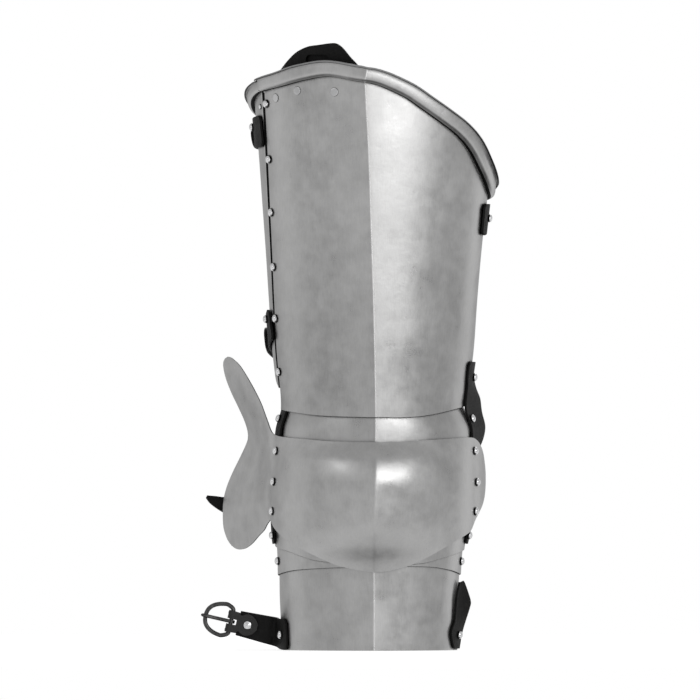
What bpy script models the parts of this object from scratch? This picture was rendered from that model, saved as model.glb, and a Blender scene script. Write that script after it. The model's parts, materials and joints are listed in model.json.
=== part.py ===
"""Right-leg plate cuisse with a winged knee cop, in metres, +Z up.

The leg stands on the lower rim of its demi-greave. Its front ridge faces -Y, its outer side,
with the wing and the open calf buckle, faces -X, and its inner side faces +X. Tables and
sizes are in millimetres and degrees, and every mesh is scaled to metres as it is made.
"""
from collections import namedtuple
from math import cos, pi, radians, sin

import bmesh
import bpy
from mathutils import Matrix, Vector
from mathutils.bvhtree import BVHTree

MM = 0.001
STEEL = 1.3            # plate thickness
LEATHER = 2.3          # strap and articulation leather thickness
GAP = 0.4              # air left between neighbouring layers
LAYER = STEEL + GAP    # step from one plate to the next one over it
STRAP_WIDTH = 25.0
CREASE = 16.0          # how far each half of a plate is turned back at the front ridge

Section = namedtuple("Section", "height outer ridge inner depth")
Edge = namedtuple("Edge", "turn low high")
Lip = namedtuple("Lip", "out up")
LipSize = namedtuple("LipSize", "turn tall wide")
Spot = namedtuple("Spot", "x y z")

# Outer surface of the thigh plate.
THIGH = [
    Section(232, 97.2, 1.0, 92.8, 96.5),
    Section(246, 96.8, 1.0, 91.8, 97.0),
    Section(262, 98.0, 0.7, 94.3, 97.5),
    Section(300, 102.2, 0.0, 99.3, 99.0),
    Section(350, 105.6, -1.2, 102.9, 101.0),
    Section(400, 108.8, -2.8, 107.2, 103.0),
    Section(450, 112.4, -4.4, 112.7, 105.5),
    Section(500, 116.0, -6.2, 118.0, 108.0),
    Section(545, 119.6, -8.6, 122.6, 110.5),
    Section(610, 125.0, -12.0, 129.0, 114.0),
]

# Outer surface of the greave and of the upper lame; the lower lames lie one and two layers over it.
LEG = [
    Section(0, 92.0, -0.5, 83.0, 80.0),
    Section(50, 94.6, -0.5, 83.3, 82.0),
    Section(75, 95.0, -0.5, 84.8, 84.0),
    Section(95, 95.4, -0.5, 86.0, 86.0),
    Section(112, 96.4, -0.5, 88.3, 88.0),
    Section(137, 97.6, 0.0, 93.0, 91.0),
    Section(170, 97.6, 0.5, 97.0, 93.0),
    Section(205, 97.0, 1.0, 98.5, 94.0),
    Section(223, 95.0, 1.0, 97.0, 94.0),
    Section(237, 91.3, 1.0, 91.6, 92.8),
    Section(248, 89.5, 1.0, 87.6, 92.0),
    Section(265, 88.0, 0.5, 86.5, 91.0),
]

# Outer surface of the upper articulation leathers.
BANDS = [
    Section(104, 101.8, -0.5, 93.2, 94.0),
    Section(112, 102.8, -0.5, 94.9, 95.5),
    Section(137, 104.2, 0.0, 99.9, 98.0),
    Section(152, 104.0, 0.2, 101.6, 99.0),
    Section(172, 101.8, 0.5, 101.6, 98.5),
    Section(205, 100.4, 1.0, 101.6, 98.0),
    Section(223, 98.5, 1.0, 100.2, 97.5),
    Section(237, 94.2, 1.0, 96.0, 97.0),
    Section(246, 92.5, 1.0, 95.4, 97.0),
    Section(262, 93.4, 0.7, 97.6, 96.5),
    Section(294, 96.9, 0.1, 102.2, 97.0),
]

# Outer surface of the knee cop's dome.
DOME = [
    Section(76, 99.0, -0.5, 92.0, 91.0),
    Section(90, 101.0, -0.5, 95.0, 98.0),
    Section(105, 103.5, -0.3, 98.8, 107.0),
    Section(125, 106.2, 0.0, 102.4, 115.0),
    Section(150, 106.4, 0.3, 104.2, 119.0),
    Section(170, 104.6, 0.6, 104.6, 120.0),
    Section(190, 102.8, 0.8, 104.2, 115.5),
    Section(205, 101.8, 1.0, 103.8, 106.5),
    Section(218, 101.2, 1.0, 103.2, 99.5),
]


def read(table, key):
    """Row of a table at one key, on smooth curves through its rows. The first column is the key."""
    last = len(table) - 1
    k = 0
    while k < last - 1 and key > table[k + 1][0]:
        k += 1
    start, stop = table[k], table[k + 1]
    before, after = table[max(k - 1, 0)], table[min(k + 2, last)]
    span = stop[0] - start[0]
    f = min(max((key - start[0]) / span, 0.0), 1.0)
    row = []
    for column in range(1, len(start)):
        leave = (stop[column] - before[column]) / (stop[0] - before[0]) * span
        arrive = (after[column] - start[column]) / (after[0] - start[0]) * span
        row.append(start[column] * (1 - f) ** 2 * (1 + 2 * f) + stop[column] * f * f * (3 - 2 * f)
                   + leave * f * (1 - f) ** 2 - arrive * f * f * (1 - f))
    return row


def spread(first, last, steps):
    """Evenly spaced values, both ends included."""
    return [first + (last - first) * k / steps for k in range(steps + 1)]


def shell_normal(form, turn, height):
    """Level direction away from the leg at one turn round it."""
    if abs(turn) <= CREASE:
        return Vector((0.0, -1.0, 0.0))
    outer, ridge, inner, depth = read(form, height)
    angle, crease = radians(abs(turn)), radians(CREASE)
    reach = inner - ridge if turn > 0 else outer + ridge
    sideways = depth * sin(angle) / cos(crease)
    forward = reach * cos(angle) / (1 - sin(crease))
    return Vector((sideways if turn > 0 else -sideways, -forward, 0.0)).normalized()


def shell_point(form, turn, height, lift=0.0):
    """Point of a leg form. The turn is 0 at the ridge and 90 at the widest place of the inner side."""
    outer, ridge, inner, depth = read(form, height)
    angle, crease = radians(max(abs(turn), CREASE)), radians(CREASE)
    reach = inner - ridge if turn > 0 else -(outer + ridge)
    across = reach * (sin(angle) - sin(crease)) / (1 - sin(crease))
    point = Vector((ridge + across, -depth * cos(angle) / cos(crease), height))
    return point + shell_normal(form, turn, height) * lift


def plate_rows(form, edges, turns, steps, lift=0.0):
    """Rows of points from a plate's lower edge to its upper edge, with one point for each turn."""
    columns = []
    for turn in turns:
        low, high = read(edges, turn)
        columns.append([shell_point(form, turn, height, lift) for height in spread(low, high, steps)])
    return [list(row) for row in zip(*columns)]


# A lip hammered out of a plate's top edge and rolled over at its rim.
LIP = [
    Lip(5.4, 0.9),
    Lip(7.3, 2.4),
    Lip(8.7, 8.2),
    Lip(9.1, 12.9),
    Lip(10.5, 13.8),
    Lip(11.0, 13.0),
]
# Share of the lip's full height and of its full reach at one turn round the leg.
lip_sizes = [
    LipSize(-112, 0.55, 0.7),
    LipSize(-100, 0.62, 0.86),
    LipSize(-85, 0.66, 0.86),
    LipSize(-69.4, 0.70, 0.80),
    LipSize(-68.4, 0.82, 0.93),
    LipSize(-55, 0.95, 0.9),
    LipSize(-40, 1.08, 1.0),
    LipSize(40, 1.0, 1.0),
    LipSize(80, 0.97, 0.98),
    LipSize(91, 0.9, 0.9),
    LipSize(95, 0.72, 0.74),
    LipSize(97, 0.5, 0.5),
]


def lip_rows(form, top, turns):
    """Rows of the lip over a plate's top edge, square to that edge."""
    rows = [[] for _ in LIP]
    last = len(top) - 1
    for k, point in enumerate(top):
        along = top[min(k + 1, last)] - top[max(k - 1, 0)]
        out = shell_normal(form, turns[k], point.z)
        up = out.cross(along).normalized()
        tall, wide = read(lip_sizes, turns[k])
        for row, step in zip(rows, LIP):
            row.append(point + out * step.out * wide + up * step.up * tall)
    return rows


def make_material(name, colour, metallic, roughness):
    """Plain finish of one kind of piece."""
    material = bpy.data.materials.new(name)
    material.use_nodes = True
    shader = material.node_tree.nodes["Principled BSDF"]
    shader.inputs["Base Color"].default_value = (*colour, 1.0)
    shader.inputs["Metallic"].default_value = metallic
    shader.inputs["Roughness"].default_value = roughness
    return material


def make_object(name, bm, material):
    """Object from a bmesh in metres, shaded smooth between its sharp edges."""
    mesh = bpy.data.meshes.new(name)
    bm.to_mesh(mesh)
    bm.free()
    mesh.shade_smooth()
    mesh.set_sharp_from_angle(angle=radians(28))
    mesh.materials.append(material)
    piece = bpy.data.objects.new(name, mesh)
    bpy.context.collection.objects.link(piece)
    return piece


def sheet(name, rows, thickness, material):
    """A wall of even thickness inside an outer surface. A point that is None is left out of it."""
    bm = bmesh.new()
    grid = [[None if point is None else bm.verts.new(point * MM) for point in row] for row in rows]
    for low, high in zip(grid, grid[1:]):
        for corners in zip(low, low[1:], high[1:], high):
            if None not in corners:
                bm.faces.new(corners)
    bmesh.ops.triangulate(bm, faces=bm.faces)
    piece = make_object(name, bm, material)
    wall = piece.modifiers.new("wall", "SOLIDIFY")
    wall.thickness = thickness * MM
    wall.offset = -1.0
    wall.use_even_offset = True
    return piece


def loft(name, rings, material, closed=False):
    """A solid through rings with equal numbers of points, capped unless it closes on itself."""
    bm = bmesh.new()
    loops = [[bm.verts.new(point * MM) for point in ring] for ring in rings]
    pairs = list(zip(loops, loops[1:]))
    if closed:
        pairs.append((loops[-1], loops[0]))
    for low, high in pairs:
        for k in range(len(low)):
            bm.faces.new((low[k - 1], low[k], high[k], high[k - 1]))
    if not closed:
        bm.faces.new(loops[0])
        bm.faces.new(loops[-1])
    bmesh.ops.recalc_face_normals(bm, faces=bm.faces)
    bmesh.ops.triangulate(bm, faces=bm.faces)
    return make_object(name, bm, material)


def rod(name, points, flat, radius, material, closed=False, sides=8):
    """A round rod along points that lie in one plane, whose normal is flat."""
    rings = []
    count = len(points)
    for k, point in enumerate(points):
        ahead = points[(k + 1) % count] if closed else points[min(k + 1, count - 1)]
        behind = points[k - 1] if closed else points[max(k - 1, 0)]
        across = (ahead - behind).cross(flat).normalized()
        angles = [2 * pi * side / sides for side in range(sides)]
        rings.append([point + (across * cos(a) + flat * sin(a)) * radius for a in angles])
    return loft(name, rings, material, closed)


def ribbon(name, points, uprights, widths, thickness, material):
    """A strap along points, with the direction and the size of its width at each one."""
    rings = []
    last = len(points) - 1
    for k, point in enumerate(points):
        along = (points[min(k + 1, last)] - points[max(k - 1, 0)]).normalized()
        upright = (uprights[k] - along * uprights[k].dot(along)).normalized()
        out = upright.cross(along) * (thickness / 2)
        half = upright * (widths[k] / 2)
        rings.append([point - half - out, point + half - out, point + half + out, point - half + out])
    return loft(name, rings, material)


def boolean(piece, cutter, operation, name):
    """Cut a piece with a hidden cutter, or join a hidden piece to it."""
    cutter.hide_render = True
    cutter.display_type = "WIRE"
    cut = piece.modifiers.new(name, "BOOLEAN")
    cut.operation = operation
    cut.solver = "EXACT"
    cut.object = cutter


for old in list(bpy.data.objects):
    bpy.data.objects.remove(old, do_unlink=True)

steel = make_material("satin_steel", (0.56, 0.56, 0.57), 1.0, 0.34)
rivet_steel = make_material("rivet_steel", (0.66, 0.66, 0.67), 1.0, 0.22)
black_iron = make_material("black_iron", (0.06, 0.06, 0.065), 0.8, 0.45)
black_leather = make_material("black_leather", (0.02, 0.02, 0.021), 0.0, 0.55)

# ---------------------------------------------------------------- thigh plate
SEAM_LOW = -77.5       # turn of the seam at the bottom of the thigh plate
SEAM_HIGH = -68.5      # and at its top
SEAM_FOOT = 240.5      # heights of the seam's two ends
SEAM_HEAD = 558.0
THIGH_BACK = 97.0      # turn of the inner back edge

thigh_edges = [
    Edge(SEAM_LOW, SEAM_FOOT, SEAM_HEAD),
    Edge(-60, 237.5, 563.0),
    Edge(-45, 234.8, 569.0),
    Edge(-32, 233.6, 572.4),
    Edge(-16, 232.9, 567.0),
    Edge(16, 232.9, 566.5),
    Edge(28, 232.6, 553.4),
    Edge(36, 233.4, 539.0),
    Edge(44, 235.0, 525.5),
    Edge(51, 237.0, 514.3),
    Edge(58, 239.0, 501.0),
    Edge(68, 241.5, 478.6),
    Edge(80, 243.5, 459.5),
    Edge(90, 245.0, 452.5),
    Edge(THIGH_BACK, 246.0, 450.0),
]
thigh_turns = spread(SEAM_LOW, -CREASE, 7) + spread(CREASE, THIGH_BACK, 11)[1:]


def seam_turn(height):
    """Turn of the seam, which draws in towards the ridge as it rises."""
    return SEAM_LOW + (SEAM_HIGH - SEAM_LOW) * (height - SEAM_FOOT) / (SEAM_HEAD - SEAM_FOOT)


thigh_rows = plate_rows(THIGH, thigh_edges, thigh_turns, 6)
for row in thigh_rows:
    for k, turn in enumerate(thigh_turns):
        if turn < -CREASE:
            share = (turn + CREASE) / (SEAM_LOW + CREASE)
            drawn = -CREASE + (seam_turn(row[k].z) + CREASE) * share
            row[k] = shell_point(THIGH, drawn, row[k].z)
sheet("thigh_plate", thigh_rows + lip_rows(THIGH, thigh_rows[-1], thigh_turns), STEEL, steel)

# ---------------------------------------------------------------- side plate
SIDE_BACK = -112.0
SEAM_GROOVE = 2.6      # its step down starts this far behind the seam
SIDE_STEP = 1.6        # and ends this far behind it
SIDE_TUCK = 4.5        # how far it reaches forward under the thigh plate
LIP_BREAK = 0.7        # its lip starts this far behind the end of the thigh plate's lip
SIDE_STEPS = 6
SIDE_LIFT = -LAYER - 0.4

side_edges = [
    Edge(SIDE_BACK, 306.0, 528.0),
    Edge(-100, 297.0, 537.0),
    Edge(-90, 284.0, 545.0),
    Edge(-80, 270.0, 552.5),
    Edge(SEAM_HIGH - SEAM_GROOVE, 262.0, 557.6),
]
side_turns = spread(SIDE_BACK, SEAM_HIGH - SEAM_GROOVE, SIDE_STEPS)
side_rows = []
for row in plate_rows(THIGH, side_edges, side_turns, 6):
    turned = []
    for k, point in enumerate(row):
        front = seam_turn(point.z) - SEAM_GROOVE
        turned.append(shell_point(THIGH, SIDE_BACK + (front - SIDE_BACK) * k / SIDE_STEPS, point.z))
    tucked = min(row[-1].z, SEAM_HEAD - 1.5)
    for step in (-SIDE_STEP, SIDE_TUCK):
        turned.append(shell_point(THIGH, seam_turn(tucked) + step, tucked, SIDE_LIFT))
    side_rows.append(turned)
side_turns[-1] = SEAM_HIGH - LIP_BREAK
side_top = side_rows[-1][:-3] + [shell_point(THIGH, side_turns[-1], side_rows[-1][-3].z)]
side_lip = lip_rows(THIGH, side_top, side_turns)
sheet("side_plate", side_rows + [row + [None, None] for row in side_lip], STEEL, steel)

# ---------------------------------------------------------------- hip tab
hip_edges = [
    Edge(-62, 545.0, 560.0),
    Edge(-59, 544.5, 570.0),
    Edge(-54.4, 543.8, 581.9),
    Edge(-45.5, 543.0, 597.1),
    Edge(-39.7, 542.5, 602.5),
    Edge(-34.6, 542.5, 604.2),
    Edge(-28.4, 543.0, 605.9),
    Edge(-24.2, 544.0, 600.7),
    Edge(-21.4, 545.0, 591.7),
    Edge(-17, 547.5, 576.0),
]
hip_turns = [edge.turn for edge in hip_edges]
HIP_LIFT = -LAYER - 0.4
BACK_INSET = 3.0       # the back layer stops this far below the front layer's edge
hip_tab = sheet("hip_tab", plate_rows(THIGH, hip_edges, hip_turns, 3, HIP_LIFT), LEATHER, black_leather)
back_edges = [Edge(edge.turn, edge.low, edge.high - BACK_INSET) for edge in hip_edges]
sheet("hip_tab_back", plate_rows(THIGH, back_edges, hip_turns, 3, HIP_LIFT - LEATHER - GAP), LEATHER, black_leather)

SLOT_FIRST, SLOT_LAST = -38.9, -32.4     # turns of the two round ends of the slot in the front layer
SLOT_HEIGHT, SLOT_RADIUS = 589.5, 5.0
slot_out = shell_normal(THIGH, (SLOT_FIRST + SLOT_LAST) / 2, SLOT_HEIGHT)
slot_side = Vector((0.0, 0.0, 1.0)).cross(slot_out)
slot_ring = []
for turn, first in ((SLOT_FIRST, 90), (SLOT_LAST, -90)):
    end = shell_point(THIGH, turn, SLOT_HEIGHT, HIP_LIFT)
    for a in spread(radians(first), radians(first + 180), 4):
        slot_ring.append(end + slot_side * cos(a) * SLOT_RADIUS + Vector((0.0, 0.0, sin(a) * SLOT_RADIUS)))
slot = loft("hip_slot", [[p - slot_out * 3.0 for p in slot_ring], [p + slot_out * 3.0 for p in slot_ring]],
            black_leather)
boolean(hip_tab, slot, "DIFFERENCE", "slot")

# ---------------------------------------------------------------- upper lame
lame_turns = spread(-98, -CREASE, 8) + spread(CREASE, 98, 8)[1:]
upper_edges = [
    Edge(-98, 209.0, 256.0),
    Edge(-60, 202.0, 258.0),
    Edge(-16, 188.0, 258.0),
    Edge(16, 188.0, 258.0),
    Edge(60, 202.0, 258.0),
    Edge(98, 209.0, 256.0),
]
sheet("upper_lame", plate_rows(LEG, upper_edges, lame_turns, 4), STEEL, steel)

# ---------------------------------------------------------------- knee cop with its wing and ear
WING_ROOT = -80.0
COP_ROWS = 11

cop_edges = [
    Edge(WING_ROOT, 130.0, 215.2),
    Edge(-74, 122.0, 214.0),
    Edge(-63, 110.5, 212.6),
    Edge(-52, 101.2, 211.4),
    Edge(-40, 90.8, 209.5),
    Edge(-32, 84.4, 208.7),
    Edge(-16, 78.1, 208.2),
    Edge(16, 78.1, 208.2),
    Edge(24, 79.8, 208.7),
    Edge(33, 84.7, 209.4),
    Edge(42, 92.3, 210.4),
    Edge(51, 101.3, 211.4),
    Edge(61, 110.0, 212.2),
    Edge(70, 116.0, 212.6),
    Edge(75, 120.0, 212.4),
    Edge(79, 130.0, 210.8),
    Edge(84, 138.0, 206.8),
    Edge(90, 146.5, 198.0),
    Edge(94, 155.0, 188.0),
    Edge(97, 166.0, 178.0),
]
EAR_START = 76.0
EAR_FLARE = 8.0
cop_turns = [-80, -73, -63, -52, -42, -33, -24, -16, 24, 33, 42, 52, 62, 70, 76, 80, 85, 91, 97]
cop_rows = plate_rows(DOME, cop_edges, cop_turns, COP_ROWS)
for row in cop_rows:
    for k, turn in enumerate(cop_turns):
        if turn > EAR_START:
            flare = EAR_FLARE * ((turn - EAR_START) / (97 - EAR_START)) ** 1.3
            row[k] = row[k] + shell_normal(DOME, turn, row[k].z) * flare

wing_near_high = [
    Spot(-103.0, -15, 218.0),
    Spot(-107.9, -7, 231.0),
    Spot(-113.7, 1, 246.7),
    Spot(-121.3, 11, 262.0),
    Spot(-128.5, 19, 274.5),
    Spot(-135.4, 27, 285.0),
    Spot(-141.7, 34, 291.4),
    Spot(-147.0, 40, 293.4),
]
wing_far = [
    Spot(-147.0, 40, 293.4),
    Spot(-151.6, 47, 285.0),
    Spot(-149.4, 50, 273.0),
    Spot(-143.6, 49, 257.6),
    Spot(-136.6, 46, 243.0),
    Spot(-130.3, 42, 229.0),
    Spot(-127.2, 39, 219.0),
    Spot(-126.8, 37, 211.5),
    Spot(-128.6, 39, 205.6),
    Spot(-135.2, 46, 191.5),
    Spot(-141.9, 53, 178.0),
    Spot(-147.7, 58, 164.0),
    Spot(-151.0, 60, 151.7),
    Spot(-152.0, 60, 137.6),
    Spot(-151.4, 57, 122.7),
    Spot(-148.5, 53, 113.5),
    Spot(-143.5, 46, 105.2),
]
wing_near_low = [
    Spot(-107.4, -16, 125.8),
    Spot(-110.5, -11, 120.0),
    Spot(-116.0, -2, 113.0),
    Spot(-125.0, 13, 105.3),
    Spot(-135.2, 32, 100.3),
    Spot(-143.5, 46, 105.2),
]


def along(spots, steps):
    """Evenly spaced points on a smooth curve through the spots, both ends included."""
    travelled = [0.0]
    for a, b in zip(spots, spots[1:]):
        travelled.append(travelled[-1] + (Vector(b) - Vector(a)).length)
    table = [(distance, *spot) for distance, spot in zip(travelled, spots)]
    return [Vector(read(table, distance)) for distance in spread(0.0, travelled[-1], steps)]


WING_STEPS = 6
root = [row[0] for row in cop_rows]
low_edge = along([Spot(*root[0])] + wing_near_low, WING_STEPS)
high_edge = along([Spot(*root[-1])] + wing_near_high, WING_STEPS)
far_edge = along(wing_far[::-1], COP_ROWS)
wing_rows = []
for i, row in enumerate(cop_rows):
    v = i / COP_ROWS
    wing_row = []
    for j in range(WING_STEPS, 0, -1):
        u = j / WING_STEPS
        across = root[i] * (1 - u) + far_edge[i] * u
        upward = low_edge[j] * (1 - v) + high_edge[j] * v
        corners = ((root[0] * (1 - u) + far_edge[0] * u) * (1 - v)
                   + (root[-1] * (1 - u) + far_edge[-1] * u) * v)
        wing_row.append(across + upward - corners)
    wing_rows.append(wing_row + row)
sheet("poleyn", wing_rows, STEEL, steel)

# ---------------------------------------------------------------- lower lames and demi-greave
lame_a_edges = [
    Edge(-98, 106.0, 128.0),
    Edge(-87, 103.5, 128.0),
    Edge(-65, 98.9, 128.0),
    Edge(-54, 93.9, 125.0),
    Edge(-44, 89.7, 121.0),
    Edge(-16, 84.5, 114.0),
    Edge(16, 84.5, 114.0),
    Edge(42, 87.2, 121.0),
    Edge(56, 92.3, 125.0),
    Edge(74, 97.7, 128.0),
    Edge(90, 100.5, 128.0),
    Edge(98, 101.5, 128.0),
]
sheet("lower_lame_a", plate_rows(LEG, lame_a_edges, lame_turns, 2, 2 * LAYER), STEEL, steel)

lame_b_edges = [
    Edge(-98, 74.0, 110.0),
    Edge(-80, 76.3, 110.0),
    Edge(-65, 79.3, 109.0),
    Edge(-51, 81.3, 107.0),
    Edge(-16, 84.0, 104.0),
    Edge(16, 84.5, 104.0),
    Edge(48, 83.5, 107.0),
    Edge(62, 80.9, 109.0),
    Edge(82, 76.4, 110.0),
    Edge(98, 75.0, 110.0),
]
sheet("lower_lame_b", plate_rows(LEG, lame_b_edges, lame_turns, 2, LAYER), STEEL, steel)

RIM_TRIM = 1.0         # cut off the greave's lower edge, so that its rim is flat
greave_edges = [
    Edge(-98, -RIM_TRIM, 83.5),
    Edge(-70, -RIM_TRIM, 86.0),
    Edge(-16, -RIM_TRIM, 98.0),
    Edge(16, -RIM_TRIM, 98.0),
    Edge(70, -RIM_TRIM, 86.0),
    Edge(98, -RIM_TRIM, 83.5),
]
greave = sheet("greave_plate", plate_rows(LEG, greave_edges, lame_turns, 4), STEEL, steel)
below = [[Vector((x, y, z)) for x, y in ((-150, -150), (150, -150), (150, 150), (-150, 150))] for z in (-20, 0)]
boolean(greave, loft("rim_cut", below, steel), "DIFFERENCE", "rim")

# ---------------------------------------------------------------- articulation leathers
Band = namedtuple("Band", "height front back near far")

# Turns of the front and back edges of each leather, and how far each edge stands off.
outer_band = [
    Band(106, -80.5, -91, 0.0, 0.0),
    Band(120, -80.2, -91, 0.0, 0.0),
    Band(132, -74, -90, 0.0, 0.0),
    Band(150, -70, -87, 0.0, 0.0),
    Band(190, -69, -86, 0.0, 0.0),
    Band(205, -72, -88, 0.0, 0.0),
    Band(217, -75, -90, 0.0, 0.0),
    Band(237, -74, -89, 0.0, 0.0),
    Band(262, -71, -88, 0.0, 0.0),
    Band(290, -68, -86, 0.0, 0.0),
]
inner_band = [
    Band(106, 80.5, 93, 0.0, 0.0),
    Band(120, 80.2, 94, 0.0, 0.0),
    Band(132, 76, 94, 0.0, 0.0),
    Band(180, 74, 94, 0.0, 0.0),
    Band(200, 73, 96, 0.0, 4.0),
    Band(212, 78, 99, 0.0, 10.0),
    Band(223, 79.5, 101, 0.0, 14.0),
    Band(237, 79, 101, 0.0, 15.0),
    Band(250, 78, 99, 0.0, 12.5),
    Band(262, 76, 95, 0.0, 5.0),
    Band(274, 74, 93, 0.0, 0.5),
    Band(288, 74, 92, 0.0, 0.0),
]


def band_rows(form, table, steps):
    """Rows of a leather's outer surface, from its lower end to its upper end."""
    rows = []
    for height in spread(table[0].height, table[-1].height, steps):
        front, back, near, far = read(table, height)
        row = []
        for f in (0.0, 0.35, 0.7, 1.0):
            row.append(shell_point(form, front + (back - front) * f, height, near + (far - near) * f * f))
        rows.append(row if front > 0 else row[::-1])
    return rows


sheet("upper_leather_outer", band_rows(BANDS, outer_band, 9), LEATHER, black_leather)
sheet("upper_leather_inner", band_rows(BANDS, inner_band, 12), LEATHER, black_leather)

low_leather_edges = [Edge(-98, 4.0, 124.0), Edge(98, 4.0, 124.0)]
LOW_LEATHER_LIFT = -LAYER - GAP
sheet("lower_leather_outer", plate_rows(LEG, low_leather_edges, spread(-90, -75, 2), 5, LOW_LEATHER_LIFT),
      LEATHER, black_leather)
sheet("lower_leather_inner", plate_rows(LEG, low_leather_edges, spread(75, 92, 2), 5, LOW_LEATHER_LIFT),
      LEATHER, black_leather)

# ---------------------------------------------------------------- straps closed behind the leg
Root = namedtuple("Root", "form front back start leave lift")
Stop = namedtuple("Stop", "along out width")

UP = Vector((0.0, 0.0, 1.0))
ROOT_WIDTH = 31.0                        # a strap's width at its riveted end
ROOT_TAPER = 60.0                        # it narrows over this far
ROD = 1.6                                # radius of a plain buckle's rod
FOLD = ROD + 0.5 + LEATHER / 2           # middle of the leather folded round its bar
FRAME_REACH = 24.0                       # from the bar to the far rail
FRAME_HALF = 16.2                        # from the middle of the frame to its end rods


def root_points(root):
    """Middle line of a strap's riveted end, lying on its plate, with the plate's slope."""
    points = []
    for f in spread(0.0, 1.0, 4):
        turn = root.front + (root.back - root.front) * f
        height = root.start + (root.leave - root.start) * f
        below, above = (shell_point(root.form, turn, height + step, root.lift) for step in (-10, 10))
        points.append((shell_point(root.form, turn, height, root.lift), (above - below).normalized()))
    return points


def closed_route(outer, inner, depth):
    """Middle line of a closed strap, from its outer root round the back to its inner root."""
    start, stop = root_points(outer), root_points(inner)[::-1]
    leave, meet = start[-1], stop[0]
    middle, half = (leave[0] + meet[0]) / 2, (leave[0] - meet[0]) / 2
    back = []
    for angle in spread(0.0, pi, 28)[1:-1]:
        upright = leave[1].lerp(meet[1], angle / pi)
        back.append((middle + half * cos(angle) + Vector((0.0, depth * sin(angle), 0.0)), upright))
    return start + back + stop


def measured(route):
    """Table of the distance travelled along a route, the point there and its upright direction."""
    travelled = [0.0]
    for a, b in zip(route, route[1:]):
        travelled.append(travelled[-1] + (b[0] - a[0]).length)
    return [(distance, *point, *upright) for distance, (point, upright) in zip(travelled, route)]


def axes_at(table, distance):
    """Point of a route, with the directions along it, upright in it and out of it."""
    row = read(table, distance)
    point, upright = Vector(row[:3]), Vector(row[3:])
    ahead = Vector(read(table, distance + 1.0)[:3]) - Vector(read(table, distance - 1.0)[:3])
    ahead.normalize()
    upright = (upright - ahead * upright.dot(ahead)).normalized()
    return point, ahead, upright, upright.cross(ahead)


def root_stops(first, last, steps, sense, end=0.0):
    """Stops from a strap's riveted end, whose corners are cut off, to a place along it."""
    stops = [Stop(end, 0.0, 21.0), Stop(end + sense * 4.0, 0.0, ROOT_WIDTH)]
    for along in spread(first, last, steps):
        taper = min(max(along - 14.0, 0.0) / ROOT_TAPER, 1.0)
        stops.append(Stop(end + sense * along, 0.0, ROOT_WIDTH + (STRAP_WIDTH - ROOT_WIDTH) * taper))
    return stops


def strap(name, table, stops, tail=(), thickness=LEATHER):
    """A strap through stops given by distance along a route, distance out of it and width.

    Its tail, if any, goes on through free spots, each with a width.
    """
    points, uprights, widths = [], [], []
    for stop in stops:
        point, ahead, upright, out = axes_at(table, stop.along)
        points.append(point + out * stop.out)
        uprights.append(upright)
        widths.append(stop.width)
    for spot, width in tail:
        points.append(Vector(spot))
        uprights.append(UP)
        widths.append(width)
    return ribbon(name, points, uprights, widths, thickness, black_leather)


def fold_stops(bar, radius, leaf, back, width):
    """Stops of a strap's end folded round a buckle bar and laid back on its outer face."""
    nose = [Stop(bar + radius * sin(a), -radius * cos(a), width) for a in spread(0.0, pi, 6)]
    return nose + [Stop(bar - radius * 2, (radius + leaf) / 2, width),
                   Stop(bar - radius * 4, leaf, width),
                   Stop(bar - back, leaf, width)]


def block(name, table, first, last, low, high, half):
    """Cutter over a stretch of a route, between two distances out of it."""
    rings = []
    for distance in (first, last):
        point, ahead, upright, out = axes_at(table, distance)
        rings.append([point + upright * side * half + out * level
                      for side, level in ((-1, low), (1, low), (1, high), (-1, high))])
    return loft(name, rings, black_leather)


def frame_loop(middle, reach_way, upright, reach, half, power):
    """Middle line of a buckle frame: a straight bar and a D bowed out from it, squarer at a low power."""
    loop = [middle + upright * level for level in spread(-half * 0.8, half * 0.8, 2)]
    for a in spread(pi * 0.44, -pi * 0.44, 9):
        rise = abs(sin(a)) ** power * (1 if a > 0 else -1)
        loop.append(middle + reach_way * reach * cos(a) ** power + upright * half * rise)
    return loop


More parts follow.
